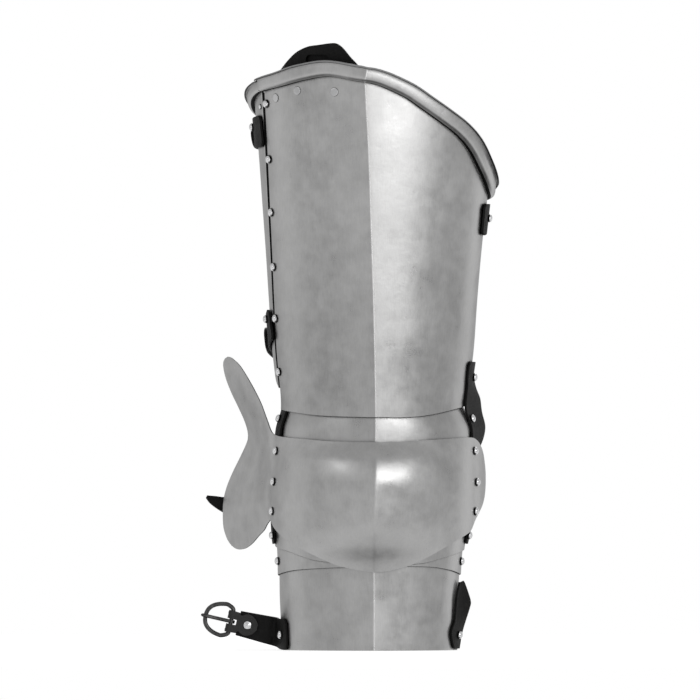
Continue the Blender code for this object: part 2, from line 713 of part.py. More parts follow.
def closed_strap(name, outer, inner, depth, bar, tip, tail=()):
    """A buckle strap, a tongue strap passed through its buckle, and the buckle."""
    table = measured(closed_route(outer, inner, depth))
    end = table[-1][0]
    low = root_stops(14.0, bar - 14.0, 4, 1)
    fold = fold_stops(bar, FOLD, LEATHER + GAP - FOLD, 32.0, STRAP_WIDTH - 3)
    low += [Stop(stop.along, stop.out + FOLD, stop.width) for stop in fold]
    folded = strap(f"{name}_buckle_strap", table, low)

    over = 2 * FOLD + LEATHER + 2 * GAP
    high = root_stops(14.0, end - bar - 44.0, 11, -1, end)
    high += [
        Stop(bar + 32.0, 1.2, STRAP_WIDTH),
        Stop(bar + FRAME_REACH, 3.4, STRAP_WIDTH),
        Stop(bar + 16.0, 6.2, STRAP_WIDTH),
        Stop(bar + 8.0, over - 0.6, STRAP_WIDTH),
        Stop(bar, over, STRAP_WIDTH),
        Stop(bar - 8.0, over - 0.8, STRAP_WIDTH),
        Stop(bar - 18.0, 2 * LEATHER + 3 * GAP, STRAP_WIDTH),
    ]
    high += [Stop(bar - along, 2 * LEATHER + 3 * GAP + out, width) for along, out, width in tip]
    threaded = strap(f"{name}_tongue_strap", table, high, tail)

    point, ahead, upright, out = axes_at(table, bar)
    middle = point + out * FOLD
    rail = (ahead * FRAME_REACH + out * 5.2).normalized()
    face = upright.cross(rail)
    buckle = rod(f"{name}_buckle", frame_loop(middle, rail, upright, FRAME_REACH, FRAME_HALF, 0.5),
                 face, ROD, black_iron, closed=True, sides=6)
    prong_line = [middle + rail * reach + face * level
                  for reach, level in ((0.0, 0.0), (4.0, 1.8), (12.0, 3.2), (24.0, 3.4), (28.0, 3.2))]
    prong = rod(f"{name}_prong", prong_line, upright, 1.4, black_iron, sides=6)
    boolean(buckle, prong, "UNION", "prong")
    boolean(folded, block(f"{name}_slot", table, bar - 7, bar + 9, FOLD, 16, 2.6), "DIFFERENCE", "slot")
    boolean(threaded, block(f"{name}_eye", table, bar + 1, bar + 19, 1, 16, 2.6), "DIFFERENCE", "eye")


plain_tip = ((34.0, 0.0, STRAP_WIDTH), (52.0, -1.5, STRAP_WIDTH), (62.0, -1.8, 18.0), (68.0, -2.0, 6.0))
ON_STEEL = 0.8 + LEATHER / 2             # middle of a strap riveted on the outside of a plate
closed_strap(
    "thigh_upper",
    Root(THIGH, -72.4, -114, 519.0, 513.0, ON_STEEL + 0.6),
    Root(THIGH, 77, 99, 430.0, 432.0, ON_STEEL + 0.6),
    78.0, 117.0, plain_tip)
closed_strap(
    "thigh_lower",
    Root(THIGH, -78, -114, 327.0, 303.0, ON_STEEL + 0.6),
    Root(THIGH, 80, 99, 274.0, 276.0, -STEEL - ON_STEEL),
    74.0, 100.0, plain_tip)
closed_strap(
    "knee",
    Root(LEG, -67, -99, 169.0, 169.0, -0.4),
    Root(LEG, 76, 99, 169.0, 169.0, -0.5),
    70.0, 96.0, (),
    ((Spot(-88, 88, 163), STRAP_WIDTH), (Spot(-106, 89, 153), STRAP_WIDTH), (Spot(-125, 85, 146), STRAP_WIDTH),
     (Spot(-140, 79, 143.5), STRAP_WIDTH), (Spot(-151.5, 74, 145.4), 14), (Spot(-162, 70, 149.6), 9),
     (Spot(-168, 68, 153), 3)))

# ---------------------------------------------------------------- open calf buckle on the outer side
CALF_SLOPE = radians(13.0)               # rise of the buckle strap as it leaves the greave
CALF_DEPTH = 7.0                         # how far behind the leg's axis the free part lies
BAR_CENTRE = Vector((-143.5, CALF_DEPTH, 28.5))
CALF_ROD = 2.2
CHAPE = 1.6                              # leather of the chape
CHAPE_FOLD = CALF_ROD + 0.5 + CHAPE / 2
CALF_REACH = 26.0
CALF_HALF = 16.3

outward = Vector((-cos(CALF_SLOPE), 0.0, sin(CALF_SLOPE)))
bar_way = Vector((sin(CALF_SLOPE), 0.0, cos(CALF_SLOPE)))
forward = bar_way.cross(outward)
calf_route = root_points(Root(LEG, -71, -84, 15.8, 16.0, ON_STEEL))
calf_route += [(BAR_CENTRE - outward * 45.5, UP), (BAR_CENTRE - outward * 38.0, bar_way),
               (BAR_CENTRE - outward * 20.0, bar_way), (BAR_CENTRE, bar_way),
               (BAR_CENTRE + outward * 20.0, bar_way)]
calf_table = measured(calf_route)
calf_bar = calf_table[-2][0]
strap("calf_buckle_strap", calf_table, root_stops(7.0, calf_bar - 7.5, 14, 1))

LEAF = LEATHER / 2 + GAP + CHAPE / 2     # middle of each leaf of the chape beside the strap
chape_stops = [Stop(calf_bar - 22.0, -LEAF, 17.0), Stop(calf_bar - 18.0, -LEAF, 20.0),
               Stop(calf_bar - 6.5, -LEAF, 21.0)]
chape_stops += [Stop(calf_bar + CHAPE_FOLD * sin(a), -CHAPE_FOLD * cos(a), 22.0)
                for a in spread(0.0, pi, 6)]
chape_stops += [
    Stop(calf_bar - 6.5, LEAF, 20.0),
    Stop(calf_bar - 9.0, LEAF, 16.0),
    Stop(calf_bar - 11.5, LEAF, 18.6),
    Stop(calf_bar - 14.5, LEAF, 21.4),
    Stop(calf_bar - 18.0, LEAF, 21.2),
    Stop(calf_bar - 22.0, LEAF, 17.6),
    Stop(calf_bar - 25.0, LEAF, 12.0),
    Stop(calf_bar - 27.0, LEAF, 5.0),
]
chape = strap("calf_chape", calf_table, chape_stops, thickness=CHAPE)
boolean(chape, block("chape_slot", calf_table, calf_bar - 5.8, calf_bar + 8, -8, 8, 2.6),
        "DIFFERENCE", "slot")

buckle_frame = rod("buckle_frame", frame_loop(BAR_CENTRE, outward, bar_way, CALF_REACH, CALF_HALF, 0.8),
                   forward, CALF_ROD, black_iron, closed=True)

EYE_IN = CALF_ROD + 0.35                 # the tongue's eye turns on the bar
EYE_OUT = EYE_IN + 1.3
eye_rings = []
for a in [2 * pi * k / 12 for k in range(12)]:
    way = outward * cos(a) + forward * sin(a)
    eye_rings.append([BAR_CENTRE + way * radius + bar_way * level
                      for radius, level in ((EYE_IN, -1.7), (EYE_OUT, -1.7), (EYE_OUT, 1.7), (EYE_IN, 1.7))])
buckle_tongue = loft("buckle_tongue", eye_rings, black_iron, closed=True)
tongue_line = [BAR_CENTRE + outward * reach + forward * level
               for reach, level in ((1.5, 3.75), (6.0, 3.85), (16.0, 4.1), (24.0, 4.6), (28.0, 4.55), (30.5, 4.2))]
prong = rod("tongue_prong", tongue_line, bar_way, 1.9, black_iron)
boolean(buckle_tongue, prong, "UNION", "prong")

# ---------------------------------------------------------------- loose calf strap on the inner side
loose_band = [
    Band(1.5, 73, 85, 2.8, 2.9),
    Band(5, 71, 86, 2.8, 3.2),
    Band(18, 68.5, 86, 2.8, 5.5),
    Band(30, 73.5, 86, 2.9, 9.0),
    Band(42, 75, 87, 3.0, 12.6),
    Band(48, 75.5, 87, 3.1, 13.6),
    Band(57, 76.5, 86, 3.4, 11.0),
    Band(68, 79, 83, 4.0, 7.0),
]
sheet("calf_tongue_strap", band_rows(LEG, loose_band, 9), LEATHER, black_leather)

# ---------------------------------------------------------------- rivets
HEAD = 4.1             # radius of a rivet's domed head
HEAD_RISE = 3.6
FLUSH_HEAD = 4.5
FLUSH_RISE = 0.8
SHANK = 1.5
HOLE = SHANK + 0.35
TAIL = 2.7             # radius of the hammered tail inside
SEAT = 0.35            # air under a head and over a tail
RAY_OUT = 9.0          # layers are looked for from this far out of the leg
RAY_IN = 13.0          # to this far into it
RIVET_SIDES = 6

Rivet = namedtuple("Rivet", "name form turn height layers head rise")


def solid_tree(name):
    """Search tree over a piece's finished faces, in metres."""
    finished = bpy.data.objects[name].evaluated_get(bpy.context.evaluated_depsgraph_get())
    mesh = finished.to_mesh()
    mesh.calc_loop_triangles()
    faces = [tuple(triangle.vertices) for triangle in mesh.loop_triangles]
    tree = BVHTree.FromPolygons([vertex.co for vertex in mesh.vertices], faces)
    finished.to_mesh_clear()
    return tree


def seam_rivet(number, height, layers):
    return Rivet(f"rivet_seam_{number}", THIGH, seam_turn(height) + SEAM_RIVET, height, layers, HEAD, HEAD_RISE)


SEAM_RIVET = 1.7       # turn from the seam forward to its rivets
SEAM_LAYERS = ["thigh_plate", "side_plate"]
TAB_LAYERS = ["thigh_plate", "hip_tab", "hip_tab_back"]
rivets = [seam_rivet(k + 1, height, SEAM_LAYERS) for k, height in enumerate((546, 490.5, 437.5, 383, 331.5))]
rivets += [
    seam_rivet(6, 278.5, SEAM_LAYERS + ["upper_leather_outer"]),
    Rivet("rivet_side_lip", THIGH, -74.5, 543, ["side_plate"], 2.6, 1.8),
    Rivet("rivet_tab_1", THIGH, -59.3, 552, TAB_LAYERS, FLUSH_HEAD, FLUSH_RISE),
    Rivet("rivet_tab_2", THIGH, -45.6, 559, TAB_LAYERS, FLUSH_HEAD, FLUSH_RISE),
    Rivet("rivet_tab_3", THIGH, -28.2, 557.5, TAB_LAYERS, FLUSH_HEAD, FLUSH_RISE),
    Rivet("rivet_thigh_upper_outer", THIGH, -88, 523, ["thigh_upper_buckle_strap", "side_plate"],
          HEAD, HEAD_RISE),
    Rivet("rivet_thigh_upper_inner", THIGH, 87, 432, ["thigh_upper_tongue_strap", "thigh_plate"],
          HEAD, HEAD_RISE),
    Rivet("rivet_thigh_lower_outer", THIGH, -86, 331, ["thigh_lower_buckle_strap", "side_plate"],
          HEAD, HEAD_RISE),
    Rivet("rivet_thigh_lower_inner", THIGH, 86.5, 273,
          ["upper_leather_inner", "thigh_plate", "thigh_lower_tongue_strap"], HEAD, HEAD_RISE),
]
for side, sign in (("outer", -1), ("inner", 1)):
    leather = f"upper_leather_{side}"
    low_leather = f"lower_leather_{side}"
    calf = "calf_buckle_strap" if sign < 0 else "calf_tongue_strap"
    knee = "knee_buckle_strap" if sign < 0 else "knee_tongue_strap"
    for name, form, turn, height, layers in (
            ("upper_lame", BANDS, 83, 231, [leather, "upper_lame"]),
            ("poleyn_high", DOME, 76.5, 199, ["poleyn", leather]),
            ("poleyn_middle", DOME, 77.5 + sign, 168, ["poleyn", leather, knee]),
            ("poleyn_low", DOME, 77 + sign, 139, ["poleyn", leather]),
            ("lame_a", BANDS, 82, 115, [leather, "lower_lame_a", low_leather]),
            ("lame_b", LEG, 83, 89, ["lower_lame_b", low_leather]),
            ("calf", LEG, 79, 15.5, [calf, "greave_plate", low_leather])):
        rivets.append(Rivet(f"rivet_{name}_{side}", form, sign * turn, height, layers, HEAD, HEAD_RISE))


def disc(centre, way, radius, level):
    """Ring of points round a rivet's axis."""
    across = way.cross(UP).normalized()
    up = across.cross(way)
    angles = [2 * pi * (side + 0.5) / RIVET_SIDES for side in range(RIVET_SIDES)]
    return [centre + way * level + (across * cos(a) + up * sin(a)) * radius for a in angles]


def layer_levels(trees, seat, way, radius):
    """Lowest and highest level of the layers along a rivet's axis, within a radius of it."""
    levels = []
    for spot in [seat] + disc(seat, way, radius, 0.0):
        for tree in trees:
            level = RAY_OUT
            while level > -RAY_IN:
                hit = tree.ray_cast((spot + way * level) * MM, -way, (level + RAY_IN) * MM)
                if hit[0] is None:
                    break
                level -= hit[3] / MM + 0.01
                levels.append(level)
    return min(levels), max(levels)


def drive_rivet(name, layers, start, way, head, rise):
    """A rivet through its layers, and the two ends of the hole it needs."""
    trees = [solid_tree(layer) for layer in layers]
    seat, way = min(((tree.ray_cast(start * MM, -way)[:2]) for tree in trees),
                    key=lambda hit: (hit[0] - start * MM).length)
    seat = seat / MM
    top = layer_levels(trees, seat, way, head)[1] + SEAT
    tail = layer_levels(trees, seat, way, TAIL)[0] - SEAT
    rings = [disc(seat, way, TAIL, tail - 0.9), disc(seat, way, TAIL, tail), disc(seat, way, SHANK, tail),
             disc(seat, way, SHANK, top), disc(seat, way, head, top), disc(seat, way, head * 0.55, top + rise)]
    loft(name, rings, rivet_steel)
    return [disc(seat, way, HOLE, top + 2.0), disc(seat, way, HOLE, tail - 2.0)]


holes = {}
for rivet in rivets:
    way = shell_normal(rivet.form, rivet.turn, rivet.height)
    start = shell_point(rivet.form, rivet.turn, rivet.height) + way * 14.0
    hole = drive_rivet(rivet.name, rivet.layers, start, way, rivet.head, rivet.rise)
    for layer in rivet.layers:
        holes.setdefault(layer, []).append(hole)

chape_point, _, _, chape_out = axes_at(calf_table, calf_bar - 17.0)
chape_layers = ["calf_chape", "calf_buckle_strap"]
hole = drive_rivet("rivet_chape", chape_layers, chape_point + chape_out * 14.0, chape_out, 4.2, 1.6)
for layer in chape_layers:
    holes.setdefault(layer, []).append(hole)

for layer, cuts in holes.items():
    bm = bmesh.new()
    for first, last in cuts:
        top = [bm.verts.new(point * MM) for point in first]
        bottom = [bm.verts.new(point * MM) for point in last]
        for k in range(len(top)):
            bm.faces.new((top[k - 1], top[k], bottom[k], bottom[k - 1]))
        bm.faces.new(top)
        bm.faces.new(bottom)
    bmesh.ops.recalc_face_normals(bm, faces=bm.faces)
    boolean(bpy.data.objects[layer], make_object(f"{layer}_holes", bm, rivet_steel), "DIFFERENCE", "holes")

# ---------------------------------------------------------------- pivots and origin
def put_origin(piece, spot):
    """Move a piece's own origin to a spot without moving the piece."""
    piece.data.transform(Matrix.Translation(-spot * MM))
    piece.location = spot * MM


put_origin(buckle_frame, BAR_CENTRE)
put_origin(buckle_tongue, BAR_CENTRE)

stand = bpy.data.objects.new("stand", None)
bpy.context.collection.objects.link(stand)
graph = bpy.context.evaluated_depsgraph_get()
corners = []
for piece in list(bpy.data.objects):
    if piece.type != "MESH":
        continue
    piece.parent = stand
    if not piece.hide_render:
        corners += [piece.matrix_world @ Vector(corner) for corner in piece.evaluated_get(graph).bound_box]
lowest = Vector([min(corner[axis] for corner in corners) for axis in range(3)])
highest = Vector([max(corner[axis] for corner in corners) for axis in range(3)])
stand.location = (-(lowest.x + highest.x) / 2, -(lowest.y + highest.y) / 2, -lowest.z)
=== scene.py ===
"""Looks of a right-leg plate cuisse with a winged knee cop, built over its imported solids.

Tables and sizes are in millimetres and degrees, measured on the leg before it is stood on its rim.
"""

import json
from math import cos, pi, radians, sin, sqrt

import bmesh
import bpy
from mathutils import Matrix, Vector
from mathutils.bvhtree import BVHTree

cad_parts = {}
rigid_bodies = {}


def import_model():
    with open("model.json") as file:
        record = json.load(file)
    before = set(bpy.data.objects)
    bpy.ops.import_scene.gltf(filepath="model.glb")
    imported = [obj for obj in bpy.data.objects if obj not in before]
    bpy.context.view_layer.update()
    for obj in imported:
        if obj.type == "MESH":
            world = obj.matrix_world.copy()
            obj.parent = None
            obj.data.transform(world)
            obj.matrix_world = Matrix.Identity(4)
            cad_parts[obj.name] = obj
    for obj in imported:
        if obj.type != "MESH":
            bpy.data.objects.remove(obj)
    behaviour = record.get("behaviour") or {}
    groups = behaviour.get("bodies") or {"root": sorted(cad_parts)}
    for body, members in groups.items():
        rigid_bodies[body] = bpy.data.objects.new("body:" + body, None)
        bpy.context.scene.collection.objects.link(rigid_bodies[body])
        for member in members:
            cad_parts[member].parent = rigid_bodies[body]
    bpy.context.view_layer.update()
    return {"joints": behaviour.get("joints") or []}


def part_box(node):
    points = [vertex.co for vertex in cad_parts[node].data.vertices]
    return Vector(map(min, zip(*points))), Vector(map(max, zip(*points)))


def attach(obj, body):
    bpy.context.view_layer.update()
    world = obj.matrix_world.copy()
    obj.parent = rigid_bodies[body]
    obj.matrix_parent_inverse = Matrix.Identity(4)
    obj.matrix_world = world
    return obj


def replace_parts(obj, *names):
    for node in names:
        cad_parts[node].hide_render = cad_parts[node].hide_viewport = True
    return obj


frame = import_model()

# ---------------------------------------------------------------- thigh plate
# The big plate over the front of the thigh: one sheet of 1.3 mm steel, rolled round the leg and creased
# down its front, with the top edge hammered out into a rolled lip. It is satin-polished outside and left
# dull inside.
MM = 0.001
BAR_CENTRE = Vector((-143.5, 7.0, 28.5))      # middle of the open buckle's bar, where the tables place it
STAND = Vector(frame["joints"][0]["pos_m"]) / MM - BAR_CENTRE     # from the tables' place to the frame's
STEEL = 1.3                                   # thickness of the plates
GAP = 0.4                                     # air between neighbouring layers
LAYER = STEEL + GAP
UNDER_PLATE = -LAYER - GAP                    # level of a sheet that lies inside a plate
CREASE = 16.0                                 # how far each half of a plate is turned back at the ridge
FRONT = Vector((0.0, -1.0, 0.0))              # the way that the ridge faces

# height, reach of the outer side, place of the ridge, reach of the inner side, depth
thigh_form = [
    (232, 97.2, 1.0, 92.8, 96.5),
    (246, 96.8, 1.0, 91.8, 97.0),
    (262, 98.0, 0.7, 94.3, 97.5),
    (300, 102.2, 0.0, 99.3, 99.0),
    (350, 105.6, -1.2, 102.9, 101.0),
    (400, 108.8, -2.8, 107.2, 103.0),
    (450, 112.4, -4.4, 112.7, 105.5),
    (500, 116.0, -6.2, 118.0, 108.0),
    (545, 119.6, -8.6, 122.6, 110.5),
    (610, 125.0, -12.0, 129.0, 114.0),
]
# turn, lower edge, upper edge
thigh_edges = [
    (-77.5, 240.5, 558.0),
    (-60, 237.5, 563.0),
    (-45, 234.8, 569.0),
    (-32, 233.6, 572.4),
    (-16, 232.9, 567.0),
    (16, 232.9, 566.5),
    (28, 232.6, 553.4),
    (36, 233.4, 539.0),
    (44, 235.0, 525.5),
    (51, 237.0, 514.3),
    (58, 239.0, 501.0),
    (68, 241.5, 478.6),
    (80, 243.5, 459.5),
    (90, 245.0, 452.5),
    (97, 246.0, 450.0),
]
# share of the lip's width, distance out of the plate, distance over its edge
lip_profile = [
    (0.0, 0.0, 0.0),
    (0.08, 2.8, 0.2),
    (0.17, 5.4, 0.9),
    (0.26, 7.3, 2.4),
    (0.38, 8.3, 4.9),
    (0.53, 8.7, 8.2),
    (0.66, 8.8, 11.2),
    (0.76, 9.1, 12.9),
    (0.85, 9.7, 13.9),
    (0.93, 10.5, 13.8),
    (1.0, 11.0, 13.0),
]
# turn, share of the lip's full height there, share of its full reach
lip_sizes = [
    (-112, 0.55, 0.7),
    (-100, 0.62, 0.86),
    (-85, 0.66, 0.86),
    (-69.4, 0.70, 0.80),
    (-68.4, 0.82, 0.93),
    (-55, 0.95, 0.9),
    (-40, 1.08, 1.0),
    (40, 1.0, 1.0),
    (80, 0.97, 0.98),
    (91, 0.9, 0.9),
    (95, 0.72, 0.74),
    (97, 0.5, 0.5),
]
SEAM_LOW, SEAM_HIGH = -77.5, -68.5            # turn of the side seam at its foot and at its head
SEAM_FOOT, SEAM_HEAD = 240.5, 558.0           # heights of the seam's foot and head
THIGH_BACK = 97.0                             # turn of the plate's back edge on the inner side
CORNER_SHARE = 0.12                           # share of a lip that lies in its corner, painted black as shade
PLATE_SHARE = 0.7                             # share of a sheet's rows that lies under its lip
SAME_SHARE = 1e-4                             # shares that differ by less than this are the same
EDGE_STEP = 0.01                              # share of an edge over which its direction is taken
RIDGE_WIDTH = 0.65                            # how far the crease of a plate is rounded
EDGE_WIDTH = 0.4                              # how far the cut edges of a plate are rounded


def read(table, key):
    """Row of a table at one key, on smooth curves through its rows. The first column is the key."""
    last = len(table) - 1
    k = 0
    while k < last - 1 and key > table[k + 1][0]:
        k += 1
    start, stop = table[k], table[k + 1]
    before, after = table[max(k - 1, 0)], table[min(k + 2, last)]
    span = stop[0] - start[0]
    f = min(max((key - start[0]) / span, 0.0), 1.0)
    row = []
    for column in range(1, len(start)):
        leave = (stop[column] - before[column]) / (stop[0] - before[0]) * span
        arrive = (after[column] - start[column]) / (after[0] - start[0]) * span
        row.append(start[column] * (1 - f) ** 2 * (1 + 2 * f) + stop[column] * f * f * (3 - 2 * f)
                   + leave * f * (1 - f) ** 2 - arrive * f * f * (1 - f))
    return row


def blend(a, b, f):
    """What lies at a share f of the way from a to b."""
    return a + (b - a) * f


def shell_normal(form, turn, height):
    """Level direction away from the leg at one turn round it."""
    if abs(turn) <= CREASE:
        return FRONT
    outer, ridge, inner, depth = read(form, height)
    angle, crease = radians(abs(turn)), radians(CREASE)
    reach = inner - ridge if turn > 0 else outer + ridge
    sideways = depth * sin(angle) / cos(crease)
    forward = reach * cos(angle) / (1 - sin(crease))
    return Vector((sideways if turn > 0 else -sideways, -forward, 0.0)).normalized()


def shell_point(form, turn, height, lift=0.0):
    """Point of a leg form: the turn is 0 at the ridge and 90 at the widest place of the inner side."""
    outer, ridge, inner, depth = read(form, height)
    angle, crease = radians(max(abs(turn), CREASE)), radians(CREASE)
    reach = inner - ridge if turn > 0 else -(outer + ridge)
    across = reach * (sin(angle) - sin(crease)) / (1 - sin(crease))
    point = Vector((ridge + across, -depth * cos(angle) / cos(crease), height))
    return point + shell_normal(form, turn, height) * lift


def shell_place(form, turn, height):
    """Point of a leg form, and the level direction away from the leg there."""
    return shell_point(form, turn, height), shell_normal(form, turn, height)


def both_sides(u, low, high):
    """Turn at one share of a plate that is creased in its middle."""
    return blend(low, -CREASE, u * 2) if u < 0.5 else blend(CREASE, high, u * 2 - 1)


def seam_turn(height):
    """Turn of the seam, which draws in towards the ridge as it rises."""
    return blend(SEAM_LOW, SEAM_HIGH, (height - SEAM_FOOT) / (SEAM_HEAD - SEAM_FOOT))


def lip_point(edge, u, share, turn):
    """Point of a lip hammered out of the top edge of a plate, square to that edge."""
    point, out = edge(u)
    along = edge(min(u + EDGE_STEP, 1.0))[0] - edge(max(u - EDGE_STEP, 0.0))[0]
    up = out.cross(along).normalized()
    step_out, step_up = read(lip_profile, share)
    tall, wide = read(lip_sizes, turn)
    return point + out * step_out * wide + up * step_up * tall


def thigh_body(u, share):
    """The thigh plate without its lip, drawn in along the seam on its outer side."""
    turn = both_sides(u, SEAM_LOW, THIGH_BACK)
    low, high = read(thigh_edges, turn)
    height = blend(low, high, share)
    if turn < -CREASE:
        drawn = (turn + CREASE) / (SEAM_LOW + CREASE)
        turn = blend(-CREASE, seam_turn(height), drawn)
    return shell_place(thigh_form, turn, height)


def thigh_surface(u, v):
    """The thigh plate and, over it, its lip."""
    if v <= PLATE_SHARE:
        return thigh_body(u, v / PLATE_SHARE)[0]
    share = (v - PLATE_SHARE) / (1 - PLATE_SHARE)
    return lip_point(lambda place: thigh_body(place, 1.0), u, share, both_sides(u, SEAM_HIGH, THIGH_BACK))


class Signal:
    """A number that varies over a surface. Arithmetic on it adds Math nodes."""

    def __init__(self, nodes, socket):
        self.nodes, self.socket = nodes, socket

    def math(self, operation, *values):
        return self.nodes.node("ShaderNodeMath", {"operation": operation}, dict(enumerate(values)))

    def __add__(self, other):
        return self.math("ADD", self, other)

    def __sub__(self, other):
        return self.math("SUBTRACT", self, other)

    def __rsub__(self, other):
        return self.math("SUBTRACT", other, self)

    def __mul__(self, other):
        return self.math("MULTIPLY", self, other)

    __radd__ = __add__
    __rmul__ = __mul__

    def between(self, low, high):
        """0 where the number is under low, 1 where it is over high."""
        return self.nodes.node("ShaderNodeMapRange", {"interpolation_type": "SMOOTHSTEP"},
                                {"Value": self, "From Min": low, "From Max": high})


class Nodes:
    """The nodes of a material, or of the tent round the leg."""

    def __init__(self, tree):
        self.tree = tree

    def node(self, kind, settings={}, inputs={}, output=0):
        """A new node with its settings and the values or links of its sockets, as the signal it gives."""
        node = self.tree.nodes.new(kind)
        for key, value in settings.items():
            if key == "stops":
                for place, _ in value[1:-1]:
                    node.color_ramp.elements.new(place)
                for stop, (place, colour) in zip(node.color_ramp.elements, value):
                    stop.position, stop.color = place, (*colour, 1.0)
            else:
                setattr(node, key, value)
        for key, value in inputs.items():
            if isinstance(value, Signal):
                self.tree.links.new(value.socket, node.inputs[key])
            else:
                node.inputs[key].default_value = value
        return Signal(self, node.outputs[output])


class Finish(Nodes):
    """One material: its Principled shader and the nodes that feed it."""

    MIX_SHARE, MIX_FIRST, MIX_SECOND, MIX_COLOUR = 0, 6, 7, 2     # colour sockets of a Mix node, by number

    def __init__(self, name, **constants):
        self.material = bpy.data.materials.new(name)
        self.material.use_nodes = True
        super().__init__(self.material.node_tree)
        self.shader = self.tree.nodes["Principled BSDF"]
        for key, value in constants.items():
            self.shader.inputs[key.replace("_", " ")].default_value = value

    def feed(self, key, signal):
        """Let a signal vary one socket of the shader."""
        self.tree.links.new(signal.socket, self.shader.inputs[key])

    def place(self, stretch=(1.0, 1.0, 1.0)):
        """The piece's own coordinates, in metres times the stretch."""
        spot = self.node("ShaderNodeTexCoord", output="Object")
        return self.node("ShaderNodeMapping", {}, {"Vector": spot, "Scale": stretch})

    def noise(self, place, scale, detail=3.0, roughness=0.5, distortion=0.0):
        return self.node("ShaderNodeTexNoise", {}, {"Vector": place, "Scale": scale, "Detail": detail,
                                                    "Roughness": roughness, "Distortion": distortion})

    def crevice(self, reach, low=0.45, high=0.85):
        """1 deep in a crevice between pieces, 0 out in the open: the mask for painted shade."""
        open_air = self.node("ShaderNodeAmbientOcclusion", {"samples": 6}, {"Distance": reach}, "AO")
        return 1.0 - open_air.between(low, high)

    def colour(self, share, low, high, painted_shade=None, dark=(0.02, 0.019, 0.018)):
        """A colour that goes from low to high as the share goes from 0 to 1, and to dark where painted shade
        is given.
        """
        tone = self.node("ShaderNodeValToRGB", {"stops": ((0.0, low), (1.0, high))}, {"Fac": share})
        if painted_shade is not None:
            mixed = {self.MIX_SHARE: painted_shade, self.MIX_FIRST: tone, self.MIX_SECOND: (*dark, 1.0)}
            tone = self.node("ShaderNodeMix", {"data_type": "RGBA"}, mixed, self.MIX_COLOUR)
        self.feed("Base Color", tone)

    def relief(self, *layers):
        """Bumps under each other, each given by its height signal and its depth in metres."""
        normal = None
        for height, depth in layers:
            inputs = {"Height": height, "Distance": depth, "Strength": 1.0}
            if normal is not None:
                inputs["Normal"] = normal
            normal = self.node("ShaderNodeBump", {}, inputs)
        self.feed("Normal", normal)


SHADE_BAND_FOOT = (0.205, 0.235)                 # heights, in metres, between which its painted shade band begins
SHADE_BAND_HEAD = (0.27, 0.46)                   # and between which it ends


def satin_finish(name, dark, light, rough, cloud_rough):
    """Steel polished with a fine abrasive: cloudy patches, a faint brushed grain, and painted shade in the
    crevices.

    Its colour is darker in a band above the knee: painted shade that dims its glints there.
    """
    finish = Finish(name, Metallic=1.0)
    spot = finish.place()
    cloud = finish.noise(spot, scale=26.0, detail=4.0, roughness=0.6)
    patch = finish.noise(spot, scale=75.0, detail=3.0, roughness=0.55)
    brush = finish.noise(finish.place(stretch=(1.0, 1.0, 0.10)), scale=900.0, detail=3.0, roughness=0.7)
    speck = finish.noise(spot, scale=1100.0, detail=2.0, roughness=0.7)
    wave = finish.noise(spot, scale=11.0, detail=1.0, roughness=0.5)
    tone = (cloud * 0.55 + patch * 0.45).between(0.3, 0.7)
    # painted shade: the colour goes dark where other pieces crowd the steel
    painted_shade = finish.crevice(reach=0.004)
    height = finish.node("ShaderNodeSeparateXYZ", {}, {"Vector": spot}, "Z")
    # painted shade: the colour is darker from the knee up to mid-thigh, to dim the glints there
    shade_band = height.between(*SHADE_BAND_FOOT) - height.between(*SHADE_BAND_HEAD)
    finish.colour(tone * 0.32 + speck * 0.28 + brush * 0.4 - shade_band * 0.15, dark, light, painted_shade)
    finish.feed("Roughness", rough + tone * cloud_rough + (speck - 0.5) * 0.08 + (brush - 0.5) * 0.06
                + painted_shade * 0.2)
    finish.relief((wave, 0.0012), (cloud, 0.0004), (patch, 0.00006), (brush + speck, 0.000006))
    return finish.material


satin_steel = satin_finish("satin_steel", (0.36, 0.359, 0.357), (0.70, 0.698, 0.695), 0.27, 0.16)
# a lighter, smoother steel for the rounded ridge: a painted highlight along the crease
ridge_highlight_steel = satin_finish("ridge_highlight_steel", (0.62, 0.618, 0.615), (0.82, 0.818, 0.815), 0.24, 0.08)
dull_steel = satin_finish("dull_steel", (0.32, 0.32, 0.322), (0.50, 0.50, 0.503), 0.40, 0.12)
# near black for the cut edges of the plates: painted shade that outlines each plate
edge_shade_steel = satin_finish("edge_shade_steel", (0.03, 0.03, 0.03), (0.09, 0.09, 0.09), 0.45, 0.12)
# black: painted shade for the corner under a lip, the step at the seam and the foot of each rivet
painted_shade_steel = satin_finish("painted_shade_steel", (0.006, 0.006, 0.006), (0.02, 0.02, 0.02), 0.6, 0.1)

# A plate's faces have three finishes outside: satin, black that is painted shade, and a lighter painted
# highlight on the ridge. Each is followed by its finish inside and on its cut edge, which is painted near
# black as shade.
plate_finishes = [satin_steel, dull_steel, edge_shade_steel, painted_shade_steel, painted_shade_steel, edge_shade_steel,
                  ridge_highlight_steel, dull_steel, edge_shade_steel]
SHADE_FACES, RIDGE_HIGHLIGHT_FACES = 3, 6               # where the painted shade and the painted ridge highlight stand in that list
ROUND, RISE = 0, 1                            # the two ways of a sheet's grid: round the leg and up it


def middle_share(face, shares):
    """Where the middle of a face lies in its sheet's grid, as shares u and v of its two ways."""
    return [sum(shares[vert][way] for vert in face.verts) / 4 for way in (ROUND, RISE)]


